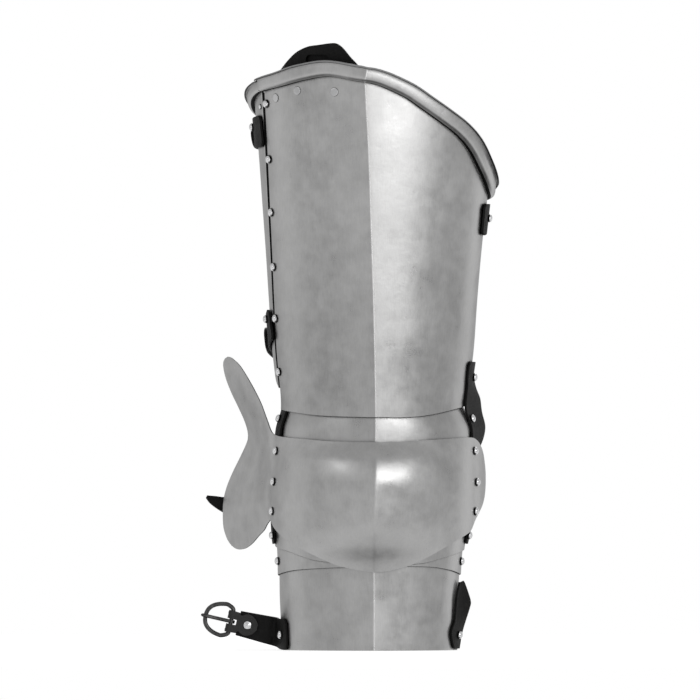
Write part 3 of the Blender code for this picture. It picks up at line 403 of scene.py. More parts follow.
def formed(columns, rows, surface, drop=None):
    """A flat grid bent to a surface(u, v) given in mm, with u round the leg and v up it."""
    bm = bmesh.new()
    bmesh.ops.create_grid(bm, x_segments=columns, y_segments=rows, size=0.5)
    shares = {vert: (vert.co.x + 0.5, vert.co.y + 0.5) for vert in bm.verts}
    if drop:
        gone = [face for face in bm.faces if drop(*middle_share(face, shares))]
        bmesh.ops.delete(bm, geom=gone, context="FACES")
    for vert in bm.verts:
        vert.co = (surface(*shares[vert]) + STAND) * MM
    bm.normal_update()
    return bm, shares


def line_of_edges(bm, shares, way, place):
    """Edges on the grid line at one share of one way."""
    on_line = {vert for vert in bm.verts if abs(shares[vert][way] - place) < SAME_SHARE}
    return [edge for edge in bm.edges if on_line.issuperset(edge.verts)]


def soften_ridge(bm, shares, width, segments=3, place=0.5, material=RIDGE_HIGHLIGHT_FACES):
    """Round the crease down a plate, and give the rounded faces a finish: by default the painted ridge
    highlight.
    """
    ridge = line_of_edges(bm, shares, ROUND, place)
    bmesh.ops.bevel(bm, geom=ridge, offset=width * MM, segments=segments, profile=0.5, affect="EDGES",
                    material=material)


def finished(name, bm, finishes, body="cuisse"):
    """A piece from a bmesh that is in place, riding on a body."""
    mesh = bpy.data.meshes.new(name)
    bm.to_mesh(mesh)
    bm.free()
    mesh.shade_smooth()
    for finish in finishes:
        mesh.materials.append(finish)
    piece = bpy.data.objects.new(name, mesh)
    bpy.context.collection.objects.link(piece)
    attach(piece, body)
    return piece


def rounded(piece, width, angle=50):
    """Round the edges of a piece where its faces meet at more than an angle."""
    bevel = piece.modifiers.new("edge", "BEVEL")
    bevel.width, bevel.segments, bevel.harden_normals = width * MM, 2, True
    bevel.limit_method, bevel.angle_limit = "ANGLE", radians(angle)


def wall(piece, thickness, edge, offset=-1.0, even=True):
    """Give a formed sheet its thickness and rounded edges, and steel its finishes inside and on the cut."""
    solid = piece.modifiers.new("thickness", "SOLIDIFY")
    solid.thickness = thickness * MM
    solid.offset = offset
    solid.use_even_offset = even
    if len(piece.data.materials) > 1:
        # the cut edge takes the third finish, which is painted dark as shade
        solid.material_offset, solid.material_offset_rim = 1, 2
    rounded(piece, edge)
    return piece


def plate(name, columns, rows, surface, ridge=RIDGE_WIDTH, lip=None, hidden=None):
    """A steel plate, with a painted highlight along its ridge. Its lip starts at a share of its rows.

    The corner under its lip is painted black as shade, and so are the columns past the share that is hidden.
    """
    bm, shares = formed(columns, rows, surface, lambda u, v: hidden and u > hidden and v > lip)
    if lip:
        for edge in line_of_edges(bm, shares, RISE, lip):
            edge.smooth = False
    for face in bm.faces:
        u, v = middle_share(face, shares)
        if hidden and u > hidden or lip and 0.0 < (v - lip) / (1.0 - lip) < CORNER_SHARE:
            face.material_index = SHADE_FACES
    if ridge:
        soften_ridge(bm, shares, ridge)
    return wall(finished(name, bm, plate_finishes), STEEL, EDGE_WIDTH)


thigh_plate = plate("thigh_steel", 96, 90, thigh_surface, lip=PLATE_SHARE)
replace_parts(thigh_plate, "thigh_plate")

# ---------------------------------------------------------------- side plate
# A narrower sheet behind the seam, level with the thigh plate. Its front edge is stepped down, tucked under
# the thigh plate and riveted to it, and the step is painted black as shade along the seam. Its short lip
# carries the rim on.
SIDE_BACK = -112.0                            # turn of its back edge
SEAM_GROOVE = 2.6                             # turn from the seam back to the head of the step
SIDE_STEP = 1.6                               # turn from the seam back to the foot of the step
SIDE_TUCK = 4.5                               # turn from the seam forward to the tucked edge
LIP_BREAK = 0.7                               # its lip starts this far behind the end of the other lip
TUCK_SHARE = 0.9                              # share of the side plate's width that shows behind the seam
STEP_SHARE = 1 / 3                            # share of the rest that the step takes
TUCK_HEAD = SEAM_HEAD - 1.5                   # the tucked part stops here, under the thigh plate's lip

side_edges = [
    (SIDE_BACK, 306.0, 528.0),
    (-100, 297.0, 537.0),
    (-90, 284.0, 545.0),
    (-80, 270.0, 552.5),
    (SEAM_HIGH - SEAM_GROOVE, 262.0, 557.6),
]


def side_body(u, share):
    """The side plate without its lip, as far as its tuck under the thigh plate."""
    reach = min(u / TUCK_SHARE, 1.0)
    low, high = read(side_edges, blend(SIDE_BACK, SEAM_HIGH - SEAM_GROOVE, reach))
    height = blend(low, high, share)
    turn = blend(SIDE_BACK, seam_turn(height) - SEAM_GROOVE, reach)
    if u < TUCK_SHARE + EDGE_STEP:
        return shell_point(thigh_form, turn, height)
    height = min(height, TUCK_HEAD)
    under = ((u - TUCK_SHARE) / (1 - TUCK_SHARE) - STEP_SHARE) / (1 - STEP_SHARE)
    turn = seam_turn(height) + blend(-SIDE_STEP, SIDE_TUCK, max(under, 0.0))
    return shell_point(thigh_form, turn, height, UNDER_PLATE)


def side_lip_turn(u):
    """Turn of the side plate's lip, which stops short of the thigh plate's."""
    return blend(SIDE_BACK, SEAM_HIGH - LIP_BREAK, min(u / TUCK_SHARE, 1.0))


def side_edge(u):
    """Top edge of the side plate, from which its lip is hammered out."""
    turn = side_lip_turn(u)
    return shell_place(thigh_form, turn, read(side_edges, turn)[1])


def side_surface(u, v):
    """The side plate and, over it, its lip."""
    if v <= PLATE_SHARE:
        return side_body(u, v / PLATE_SHARE)
    return lip_point(side_edge, u, (v - PLATE_SHARE) / (1 - PLATE_SHARE), side_lip_turn(u))


side_plate = plate("side_steel", 30, 70, side_surface, ridge=None, lip=PLATE_SHARE, hidden=TUCK_SHARE)
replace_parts(side_plate, "side_plate")

# ---------------------------------------------------------------- upper lame
# A narrow curved plate that slides between the thigh plate and the knee cop as the knee bends.
# the leg at the knee and shin, in the same columns as the thigh
leg_form = [
    (0, 92.0, -0.5, 83.0, 80.0),
    (50, 94.6, -0.5, 83.3, 82.0),
    (75, 95.0, -0.5, 84.8, 84.0),
    (95, 95.4, -0.5, 86.0, 86.0),
    (112, 96.4, -0.5, 88.3, 88.0),
    (137, 97.6, 0.0, 93.0, 91.0),
    (170, 97.6, 0.5, 97.0, 93.0),
    (205, 97.0, 1.0, 98.5, 94.0),
    (223, 95.0, 1.0, 97.0, 94.0),
    (237, 91.3, 1.0, 91.6, 92.8),
    (248, 89.5, 1.0, 87.6, 92.0),
    (265, 88.0, 0.5, 86.5, 91.0),
]
LAME_BACK = 98.0                              # turn of both back edges of a lame
upper_lame_edges = [
    (-98, 209.0, 256.0),
    (-60, 202.0, 258.0),
    (-16, 188.0, 258.0),
    (16, 188.0, 258.0),
    (60, 202.0, 258.0),
    (98, 209.0, 256.0),
]


def lame_surface(edges, lift):
    """Surface of a plate of even reach round the leg, at a level over it."""
    def surface(u, v):
        turn = both_sides(u, -LAME_BACK, LAME_BACK)
        low, high = read(edges, turn)
        return shell_point(leg_form, turn, blend(low, high, v), lift)
    return surface


upper_lame = plate("upper_lame_steel", 80, 16, lame_surface(upper_lame_edges, 0.0))
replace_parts(upper_lame, "upper_lame")

# ---------------------------------------------------------------- lower lames and demi-greave
# Two lames under the knee cop, each lapped over the next, and the short greave over the top of the shin.
# They are bent from the same sheet as the thigh plate and creased on the same line.
lame_a_edges = [
    (-98, 106.0, 128.0),
    (-87, 103.5, 128.0),
    (-65, 98.9, 128.0),
    (-54, 93.9, 125.0),
    (-44, 89.7, 121.0),
    (-16, 84.5, 114.0),
    (16, 84.5, 114.0),
    (42, 87.2, 121.0),
    (56, 92.3, 125.0),
    (74, 97.7, 128.0),
    (90, 100.5, 128.0),
    (98, 101.5, 128.0),
]
lame_b_edges = [
    (-98, 74.0, 110.0),
    (-80, 76.3, 110.0),
    (-65, 79.3, 109.0),
    (-51, 81.3, 107.0),
    (-16, 84.0, 104.0),
    (16, 84.5, 104.0),
    (48, 83.5, 107.0),
    (62, 80.9, 109.0),
    (82, 76.4, 110.0),
    (98, 75.0, 110.0),
]
greave_edges = [
    (-98, 0.0, 83.5),
    (-70, 0.0, 86.0),
    (-16, 0.0, 98.0),
    (16, 0.0, 98.0),
    (70, 0.0, 86.0),
    (98, 0.0, 83.5),
]
LOWER_RIDGE_WIDTH = 0.9                       # their creases are rounder than the thigh plate's
for name, node, rows, edges, lift in (
        ("lame_a_steel", "lower_lame_a", 10, lame_a_edges, 2 * LAYER),
        ("lame_b_steel", "lower_lame_b", 12, lame_b_edges, LAYER),
        ("greave_steel", "greave_plate", 30, greave_edges, 0.0)):
    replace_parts(plate(name, 80, rows, lame_surface(edges, lift), ridge=LOWER_RIDGE_WIDTH), node)

# ---------------------------------------------------------------- knee cop with its wing and ear
# One sheet raised over a stake: a dome over the kneecap, a heart-shaped wing standing out on the outer
# side to guard the back of the knee, and a small flared ear on the inner side.
dome_form = [
    (76, 99.0, -0.5, 92.0, 91.0),
    (90, 101.0, -0.5, 95.0, 98.0),
    (105, 103.5, -0.3, 98.8, 107.0),
    (125, 106.2, 0.0, 102.4, 115.0),
    (150, 106.4, 0.3, 104.2, 119.0),
    (170, 104.6, 0.6, 104.6, 120.0),
    (190, 102.8, 0.8, 104.2, 115.5),
    (205, 101.8, 1.0, 103.8, 106.5),
    (218, 101.2, 1.0, 103.2, 99.5),
]
WING_ROOT = -80.0                             # turn at which the wing leaves the dome
cop_edges = [
    (WING_ROOT, 130.0, 215.2),
    (-74, 122.0, 214.0),
    (-63, 110.5, 212.6),
    (-52, 101.2, 211.4),
    (-40, 90.8, 209.5),
    (-32, 84.4, 208.7),
    (-16, 78.1, 208.2),
    (16, 78.1, 208.2),
    (24, 79.8, 208.7),
    (33, 84.7, 209.4),
    (42, 92.3, 210.4),
    (51, 101.3, 211.4),
    (61, 110.0, 212.2),
    (70, 116.0, 212.6),
    (75, 120.0, 212.4),
    (79, 130.0, 210.8),
    (84, 138.0, 206.8),
    (90, 146.5, 198.0),
    (94, 155.0, 188.0),
    (97, 166.0, 178.0),
]
EAR_START, EAR_BACK = 76.0, 97.0              # turns between which the ear flares
EAR_FLARE, EAR_CURVE = 8.0, 1.3               # how far it flares, and the power at which it does so
WING_SHARE = 0.3                              # share of the sheet's columns that lies in the wing
COP_RIDGE = WING_SHARE + (1 - WING_SHARE) / 2
COP_RIDGE_WIDTH = 1.8
WING_BEND = 0.055                             # share of the columns, on each side of the root, that bends
BEND_PASSES = 10                              # times that the bend is smoothed

# the wing's upper edge out to its tip, its far edge down from there, and its lower edge out to that
wing_near_high = [
    (-103.0, -15, 218.0),
    (-107.9, -7, 231.0),
    (-113.7, 1, 246.7),
    (-121.3, 11, 262.0),
    (-128.5, 19, 274.5),
    (-135.4, 27, 285.0),
    (-141.9, 34, 291.2),
    (-144.6, 37, 293.0),
    (-147.0, 40, 293.4),
]
wing_far = [
    (-147.0, 40, 293.4),
    (-150.3, 43, 290.9),
    (-151.7, 47, 285.5),
    (-149.4, 50, 273.0),
    (-143.6, 49, 257.6),
    (-136.6, 46, 243.0),
    (-130.3, 42, 229.0),
    (-127.2, 39, 219.0),
    (-126.8, 37, 211.5),
    (-128.6, 39, 205.6),
    (-135.2, 46, 191.5),
    (-141.9, 53, 178.0),
    (-147.7, 58, 164.0),
    (-151.0, 60, 151.7),
    (-152.0, 60, 137.6),
    (-151.4, 57, 122.7),
    (-148.7, 53, 113.2),
    (-146.4, 50, 108.3),
    (-143.2, 46, 104.1),
]
wing_near_low = [
    (-107.4, -16, 125.8),
    (-110.5, -11, 120.0),
    (-116.0, -2, 114.0),
    (-122.5, 9, 106.5),
    (-128.8, 20, 101.7),
    (-134.5, 30, 100.2),
    (-139.3, 39, 101.2),
    (-143.2, 46, 104.1),
]


def travelled(spots):
    """Distance travelled along a line of spots, at each of them."""
    far = [0.0]
    for a, b in zip(spots, spots[1:]):
        far.append(far[-1] + (Vector(b) - Vector(a)).length)
    return far


def measured(spots):
    """Table of the share of a line of spots that is travelled, and the spot there."""
    far = travelled(spots)
    return [(distance / far[-1], *spot) for distance, spot in zip(far, spots)]


def cop_body(turn, v):
    """The dome and the ear, whose back edge flares away from the leg."""
    low, high = read(cop_edges, turn)
    height = blend(low, high, v)
    flare = EAR_FLARE * (max(turn - EAR_START, 0.0) / (EAR_BACK - EAR_START)) ** EAR_CURVE
    return shell_point(dome_form, turn, height, flare)


low_edge = measured([tuple(cop_body(WING_ROOT, 0.0))] + wing_near_low)
high_edge = measured([tuple(cop_body(WING_ROOT, 1.0))] + wing_near_high)
far_edge = measured(wing_far[::-1])


def cop_surface(u, v):
    """The cop from its ear to its wing, whose surface is stretched between its four edges."""
    if u >= WING_SHARE:
        f = (u - WING_SHARE) / (1 - WING_SHARE)
        return cop_body(both_sides(f, WING_ROOT, EAR_BACK), v)
    f = 1 - u / WING_SHARE
    near, far = cop_body(WING_ROOT, v), Vector(read(far_edge, v))
    low, high = Vector(read(low_edge, f)), Vector(read(high_edge, f))
    first, last = cop_body(WING_ROOT, 0.0), cop_body(WING_ROOT, 1.0)
    corners = blend(blend(first, Vector(wing_near_low[-1]), f), blend(last, Vector(wing_far[0]), f), v)
    return blend(near, far, f) + blend(low, high, v) - corners


bm, shares = formed(120, 48, cop_surface)
bend = [vert for vert in bm.verts
        if abs(shares[vert][ROUND] - WING_SHARE) < WING_BEND and 0.0 < shares[vert][RISE] < 1.0]
for _ in range(BEND_PASSES):
    bmesh.ops.smooth_vert(bm, verts=bend, factor=0.5, use_axis_x=True, use_axis_y=True, use_axis_z=True)
soften_ridge(bm, shares, COP_RIDGE_WIDTH, segments=4, place=COP_RIDGE, material=-1)
poleyn = wall(finished("poleyn_steel", bm, plate_finishes[:SHADE_FACES]), STEEL, EDGE_WIDTH)
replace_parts(poleyn, "poleyn")

# ---------------------------------------------------------------- hip tab
# A tab of two layers of black harness leather riveted inside the top of the thigh plate. The slot in its
# front layer takes the point that hangs the cuisse from the belt, which is led out between the two.
LEATHER = 2.3
LEATHER_EDGE = 0.5                            # how far the cut edges of leather are rounded
UP = Vector((0.0, 0.0, 1.0))
hip_edges = [
    (-62, 545.0, 560.0),
    (-59, 544.5, 570.0),
    (-56.5, 544.0, 577.5),
    (-54.4, 543.8, 581.9),
    (-50.5, 543.5, 589.1),
    (-45.5, 543.0, 597.1),
    (-39.7, 542.5, 602.5),
    (-34.6, 542.5, 604.2),
    (-28.4, 543.0, 605.9),
    (-26.4, 543.5, 605.0),
    (-24.2, 544.0, 600.7),
    (-21.4, 545.0, 591.7),
    (-18.3, 546.5, 582.8),
    (-17, 547.5, 576.0),
]
SLOT_FIRST, SLOT_LAST = -38.9, -32.4          # turns of the two round ends of the slot
SLOT_HEIGHT, SLOT_RADIUS = 589.5, 5.0
SLOT_DEPTH = 6.0                              # length of the cutter, which passes right through the layer
BACK_INSET = 3.0                              # the back layer stops this far below the front layer's edge


def leather_finish(name, low, high, shine):
    """Vegetable-tanned leather dyed black: fine pores, a few soft creases, a slight waxed shine and painted
    shade in its crevices.
    """
    finish = Finish(name, Specular_IOR_Level=shine)
    spot = finish.place()
    pore = finish.node("ShaderNodeTexVoronoi", {"feature": "DISTANCE_TO_EDGE"},
                       {"Vector": spot, "Scale": 1100.0, "Randomness": 1.0})
    cloud = finish.noise(spot, scale=60.0, detail=3.0, roughness=0.6)
    crease = finish.noise(spot, scale=210.0, detail=4.0, roughness=0.7, distortion=1.5)
    grain = pore.between(0.0, 0.12)
    finish.colour(cloud * 0.6 + crease.between(0.45, 0.7) * 0.4, low, high,
                  painted_shade=finish.crevice(reach=0.005), dark=(0.001, 0.001, 0.001))
    finish.feed("Roughness", 0.46 + cloud * 0.22 - grain * 0.06)
    finish.relief((crease, 0.0004), (grain, 0.00006))
    return finish.material


black_leather = leather_finish("black_leather", (0.003, 0.003, 0.003), (0.013, 0.0125, 0.012), shine=0.15)


def leather_sheet(name, columns, rows, surface):
    """A piece cut from the flat leather."""
    bm, _ = formed(columns, rows, surface)
    return wall(finished(name, bm, [black_leather]), LEATHER, LEATHER_EDGE)


def hip_surface(lift, inset):
    """Surface of one layer of the tab, at a level over the thigh's form."""
    def surface(u, v):
        turn = blend(hip_edges[0][0], hip_edges[-1][0], u)
        low, high = read(hip_edges, turn)
        return shell_point(thigh_form, turn, blend(low, high - inset, v), lift)
    return surface


def cut(piece, cutters):
    """Cut closed shapes out of a sheet before its edges are rounded, and throw them away."""
    joined = bmesh.new()
    mesh = bpy.data.meshes.new("cutter")
    for cutter in cutters:
        cutter.to_mesh(mesh)
        cutter.free()
        joined.from_mesh(mesh)
    joined.to_mesh(mesh)
    joined.free()
    tool = bpy.data.objects.new("cutter", mesh)
    bpy.context.collection.objects.link(tool)
    step = piece.modifiers.new("cut", "BOOLEAN")
    step.operation, step.solver, step.object = "DIFFERENCE", "EXACT", tool
    piece.modifiers.move(piece.modifiers.find("cut"), piece.modifiers.find("edge"))
    piece.data = bpy.data.meshes.new_from_object(piece.evaluated_get(bpy.context.evaluated_depsgraph_get()))
    piece.modifiers.clear()
    bpy.data.objects.remove(tool, do_unlink=True)


def punch(spots, way, upright, radius, reach):
    """The cutter for a round hole at one spot, or for a slot whose round ends lie at two."""
    bm = bmesh.new()
    bmesh.ops.create_cone(bm, cap_ends=True, segments=24, radius1=radius, radius2=radius, depth=reach)
    side = upright.cross(way)
    if len(spots) == 2:
        half = (spots[1] - spots[0]).length / 2
        side = (spots[1] - spots[0]).normalized()
        upright = way.cross(side)
        for vert in bm.verts:
            vert.co.x += half if vert.co.x > 0 else -half
    turn = Matrix((side, upright, way)).transposed().to_4x4()
    middle = sum(spots, Vector()) / len(spots) + STAND
    bmesh.ops.transform(bm, verts=bm.verts, matrix=Matrix.Scale(MM, 4) @ Matrix.Translation(middle) @ turn)
    bmesh.ops.recalc_face_normals(bm, faces=bm.faces)
    return bm


hip_tab = leather_sheet("hip_leather", 44, 26, hip_surface(UNDER_PLATE, 0.0))
slot_ends = [shell_point(thigh_form, turn, SLOT_HEIGHT, UNDER_PLATE) for turn in (SLOT_FIRST, SLOT_LAST)]
slot_way = shell_normal(thigh_form, (SLOT_FIRST + SLOT_LAST) / 2, SLOT_HEIGHT)
cut(hip_tab, [punch(slot_ends, slot_way, UP, SLOT_RADIUS, SLOT_DEPTH)])
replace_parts(hip_tab, "hip_tab")
hip_back = leather_sheet("hip_back_leather", 44, 26, hip_surface(UNDER_PLATE - LEATHER - GAP, BACK_INSET))
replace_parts(hip_back, "hip_tab_back")

# ---------------------------------------------------------------- articulation leathers
# Strips of the same leather down each side of the knee. The thigh plate, the lames and the cop are
# riveted to them, so that the plates can slide over each other as the knee bends.
band_form = [
    (104, 101.8, -0.5, 93.2, 94.0),
    (112, 102.8, -0.5, 94.9, 95.5),
    (137, 104.2, 0.0, 99.9, 98.0),
    (152, 104.0, 0.2, 101.6, 99.0),
    (172, 101.8, 0.5, 101.6, 98.5),
    (205, 100.4, 1.0, 101.6, 98.0),
    (223, 98.5, 1.0, 100.2, 97.5),
    (237, 94.2, 1.0, 96.0, 97.0),
    (246, 92.5, 1.0, 95.4, 97.0),
    (262, 93.4, 0.7, 97.6, 96.5),
    (294, 96.9, 0.1, 102.2, 97.0),
]
# height, turn of the front edge, turn of the back edge
outer_band = [
    (106, -80.5, -91),
    (120, -80.2, -91),
    (132, -74, -90),
    (150, -70, -87),
    (190, -69, -86),
    (205, -72, -88),
    (217, -75, -90),
    (237, -74, -89),
    (262, -71, -88),
    (290, -68, -86),
]
low_band_outer = [(4, -75, -90), (124, -75, -90)]
low_band_inner = [(4, 75, 92), (124, 75, 92)]
# the same, and how far each of the two edges stands off
inner_band = [
    (106, 80.5, 93, 0.0, 0.0),
    (120, 80.2, 94, 0.0, 0.0),
    (132, 76, 94, 0.0, 0.0),
    (180, 74, 94, 0.0, 0.0),
    (200, 73, 96, 0.0, 4.0),
    (212, 78, 99, 0.0, 10.0),
    (223, 79.5, 101, 0.0, 14.0),
    (237, 77.6, 101, 0.0, 15.0),
    (250, 76.8, 99, 0.0, 12.5),
    (262, 76, 95, 0.0, 5.0),
    (274, 74, 93, 0.0, 0.5),
    (288, 74, 92, 0.0, 0.0),
]
CORNER = 5.0                                  # radius of a strip's cut corners
MM_PER_TURN = 1.7                             # length of one degree of turn round the leg


def band_surface(form, table, lift=0.0, corner=CORNER):
    """Surface of a strip up the leg, with round corners."""
    def surface(u, v):
        low, high = table[0][0], table[-1][0]
        height = blend(low, high, v)
        front, back, *levels = read(table, height)
        near, far = levels or (0.0, 0.0)
        end = min(height - low, high - height)
        inset = corner - sqrt(corner ** 2 - (corner - min(end, corner)) ** 2)
        trim = inset / MM_PER_TURN * (1 if back > front else -1)
        f = u if front > 0 else 1 - u
        turn = blend(front + trim, back - trim, f)
        return shell_point(form, turn, height, lift + blend(near, far, f * f))
    return surface


for name, node, form, table, lift in (
        ("outer_leather", "upper_leather_outer", band_form, outer_band, 0.0),
        ("inner_leather", "upper_leather_inner", band_form, inner_band, 0.0),
        ("low_outer_leather", "lower_leather_outer", leg_form, low_band_outer, UNDER_PLATE),
        ("low_inner_leather", "lower_leather_inner", leg_form, low_band_inner, UNDER_PLATE)):
    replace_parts(leather_sheet(name, 14, 90, band_surface(form, table, lift)), node)

# ---------------------------------------------------------------- straps closed behind the leg
# Two straps behind the thigh and one behind the knee, wider at their riveted ends. Each is in two parts: a
# short one folded round the bar of an iron buckle, and a long one with punched holes that passes through it.
STRAP_WIDTH, ROOT_WIDTH = 25.0, 31.0
ROOT_START = 7.0                              # the corners of a riveted end are rounded before this distance
ROOT_FULL = 14.0                              # it is at its full width up to this distance from its end
ROOT_TAPER = 60.0                             # and narrows over this far from there
ROD = 1.6                                     # radius of the wire of a closed buckle
BAR_AIR = 0.5                                 # air between a bar and the leather folded round it
FOLD = ROD + BAR_AIR + LEATHER / 2            # middle of the leather folded round a bar
FRAME_REACH, FRAME_HALF = 24.0, 16.2          # a closed buckle's reach from its bar, and half its bar
FRAME_RISE = 5.2                              # how far a buckle's far rail stands over its bar
HOLE_FIRST, HOLE_PITCH = 10.0, 18.0           # places of the prong's hole and the others, from the bar
HOLE_RADIUS = 2.4                             # of a hole punched for the prong
ON_STEEL = 0.8 + LEATHER / 2                  # level of the middle of a strap that lies on a plate
ON_THIGH = ON_STEEL + 0.6                     # and of one that lies on the thigh plate or the side plate
CUT_BY_PRONG = 0.21                           # share of a folded strap's width that its slot takes
BAR_SHARE, BOW_ANGLE = 0.8, pi * 0.44         # the bar's share of a buckle's width, and the bow's half angle
BACK_STEPS, NOSE_STEPS, BOW_STEPS = 28, 6, 32     # steps round the back of the leg, a bar, and a buckle's bow
FOLD_START = 14.0                             # the folded strap lies flat up to this far from the bar
LONG_START = 10.0                             # the long strap's first even stop, from its riveted end
LONG_RISE = 44.0                              # and it starts to rise this far ahead of the bar
SLOPE_REACH = 10.0                            # a plate's slope is taken this far down and up from a spot
STOP_STEP = 0.05                              # a strap's direction is taken over this share of a stop
TIP_WIDTH = 1.5                               # a strap is nowhere narrower than this
GROOVE_FROM, GROOVE_TO = 0.06, 0.13           # where a groove lies, as shares of the width from each edge


def root_points(form, front, back, start, leave, lift):
    """Middle line of a strap's riveted end, lying on its plate, with the plate's slope."""
    points = []
    for share in (0.0, 0.25, 0.5, 0.75, 1.0):
        turn, height = blend(front, back, share), blend(start, leave, share)
        below, above = (shell_point(form, turn, height + step, lift) for step in (-SLOPE_REACH, SLOPE_REACH))
        points.append((shell_point(form, turn, height, lift), (above - below).normalized()))
    return points


def distances(route):
    """Table of the distance travelled along a route, the point there and its upright direction."""
    far = travelled([point for point, _ in route])
    return [(distance, *point, *upright) for distance, (point, upright) in zip(far, route)]


def axes_at(route, place, step=1.0):
    """Point of a route, with the directions along it, upright in it and out of it."""
    row = read(route, place)
    point, upright = Vector(row[:3]), Vector(row[3:6])
    ahead = (Vector(read(route, place + step)[:3]) - Vector(read(route, place - step)[:3])).normalized()
    upright = (upright - ahead * upright.dot(ahead)).normalized()
    return point, ahead, upright, upright.cross(ahead)


def root_stops(first, last, steps, sense, end=0.0):
    """Stops from a strap's riveted end, whose corners are rounded, to a place along it.

    The sense is 1 where the strap runs along its route from there, and -1 where it runs back.
    """
    corners = ((0.0, 21.0), (1.2, 26.0), (4.0, ROOT_WIDTH))
    stops = [(end + sense * along, 0.0, width) for along, width in corners]
    for k in range(steps + 1):
        along = blend(first, last, k / steps)
        taper = min(max(along - ROOT_FULL, 0.0) / ROOT_TAPER, 1.0)
        stops.append((end + sense * along, 0.0, blend(ROOT_WIDTH, STRAP_WIDTH, taper)))
    return stops


def strap(name, route, stops, columns, tail=(), thickness=LEATHER, groove=0.0, edge=LEATHER_EDGE,
          skin=black_leather, slot=None):
    """A strap through stops of distance, distance out of the route, and width, then on through a free tail.

    Its slot, if any, runs from one stop to another and takes a share of its width. A groove runs along each
    edge of a strap that has one.
    """
    rows = []
    for along, out, width in stops:
        point, _, upright, way = axes_at(route, along)
        rows.append((*(point + way * out), *upright, width))
    rows += [(*spot, *UP, width) for spot, width in tail]
    table = [(k, *row) for k, row in enumerate(rows)]
    last = len(table) - 1

    def surface(u, v):
        spot, _, upright, way = axes_at(table, u * last, STOP_STEP)
        width = max(read(table, u * last)[-1], TIP_WIDTH)
        sunk = groove if GROOVE_FROM < min(v, 1 - v) < GROOVE_TO else 0.0
        return spot + upright * width * (v - 0.5) - way * sunk

    def in_slot(u, v):
        return slot and slot[0] < u * last < slot[1] and abs(v - 0.5) < slot[2] / 2

    bm, _ = formed(columns, 24 if groove else 10, surface, in_slot)
    return wall(finished(name, bm, [skin]), thickness, edge, offset=0.0, even=False)


def nose_stops(bar, radius, width, level=0.0):
    """Stops of a strap folded half way round a bar whose middle is at a level."""
    angles = [pi * k / NOSE_STEPS for k in range(NOSE_STEPS + 1)]
    return [(bar + radius * sin(angle), level - radius * cos(angle), width) for angle in angles]


def frame_loop(middle, reach_way, upright, reach, half, power):
    """Middle line of a buckle frame: a straight bar and a D bowed out from it, squarer at a low power."""
    loop = [middle + upright * half * BAR_SHARE * blend(-1, 1, k / 6) for k in range(7)]
    for k in range(BOW_STEPS + 1):
        angle = BOW_ANGLE * (1 - 2 * k / BOW_STEPS)
        rise = abs(sin(angle)) ** power * (1 if angle > 0 else -1)
        loop.append(middle + reach_way * reach * cos(angle) ** power + upright * half * rise)
    return loop


def prong_line(root, ahead, out, profile):
    """Middle line of a buckle's prong, from a table of its reach from the bar and its level over it."""
    return [root + ahead * reach + out * level for reach, level in profile]


def iron_finish(name):
    """Wrought iron wire, blacked in oil: nearly black, rubbed a little brighter on its high spots."""
    finish = Finish(name, Metallic=1.0)
    spot = finish.place()
    scale = finish.noise(spot, scale=420.0, detail=4.0, roughness=0.65)
    worn = finish.noise(spot, scale=90.0, detail=2.0, roughness=0.5)
    finish.colour(scale * 0.5 + worn.between(0.45, 0.75) * 0.5, (0.03, 0.03, 0.031), (0.26, 0.256, 0.25))
    finish.feed("Roughness", 0.20 + scale * 0.2)
    finish.relief((scale, 0.00006))
    return finish.material


black_iron = iron_finish("black_iron")


def rod(name, points, radius, closed=False, tips=(1.0, 1.0), body="cuisse"):
    """Round iron wire bent along points, as a mesh. A prong may narrow towards its tips."""
    curve = bpy.data.curves.new(name, "CURVE")
    curve.dimensions = "3D"
    curve.bevel_depth = radius * MM
    curve.bevel_resolution = 5
    curve.use_fill_caps = True
    spline = curve.splines.new("NURBS")
    spline.points.add(len(points) - 1)
    spline.use_cyclic_u, spline.use_endpoint_u = closed, not closed
    spline.order_u, spline.resolution_u = 3, 6
    for point, spot in zip(spline.points, points):
        point.co = (*((spot + STAND) * MM), 1.0)
    spline.points[0].radius, spline.points[-1].radius = tips
    wire = bpy.data.objects.new(name, curve)
    bpy.context.collection.objects.link(wire)
    bm = bmesh.new()
    bm.from_mesh(bpy.data.meshes.new_from_object(wire.evaluated_get(bpy.context.evaluated_depsgraph_get())))
    bpy.data.objects.remove(wire, do_unlink=True)
    bmesh.ops.remove_doubles(bm, verts=bm.verts, dist=0.00001)
    return finished(name, bm, [black_iron], body)


# reach from the bar and level over it, along a prong from its root to its tip
prong_profile = ((0.0, 0.0), (2.0, 1.2), (6.0, 2.6), (12.0, 3.2), (20.0, 3.5), (26.0, 3.4), (28.0, 3.2))
PRONG = 1.4                                   # radius of a closed buckle's prong
FOLD_WIDTH = STRAP_WIDTH - 3.0                # a folded end is trimmed to pass through its buckle
LONG_LEVEL = 2 * LEATHER + 3 * GAP            # level of the long strap where it lies on the folded one
OVER_BAR = 2 * FOLD + LEATHER + 2 * GAP       # and where it passes over the bar
# distance back from the bar and level, along the folded end that is laid back on its strap
laid_back = ((2 * FOLD, (LEATHER + GAP) / 2 + FOLD), (4 * FOLD, LEATHER + GAP), (32.0, LEATHER + GAP))
# distance ahead of the bar and level, along the long strap
threading = ((32.0, 1.2), (FRAME_REACH, 3.4), (16.0, 6.2), (8.0, OVER_BAR - 0.6), (0.0, OVER_BAR),
             (-8.0, OVER_BAR - 0.8), (-18.0, LONG_LEVEL))
# place in pitches from the prong's hole, level of the strap there, half of a slot's length, depth of the cut
prong_hole, tip_hole = (0, 6.0, 6.6, 16.0), (-1, LONG_LEVEL, 0.0, 7.0)
spare_holes = ((2, 0.6, 0.0, 7.0), (3, 0.6, 0.0, 7.0))


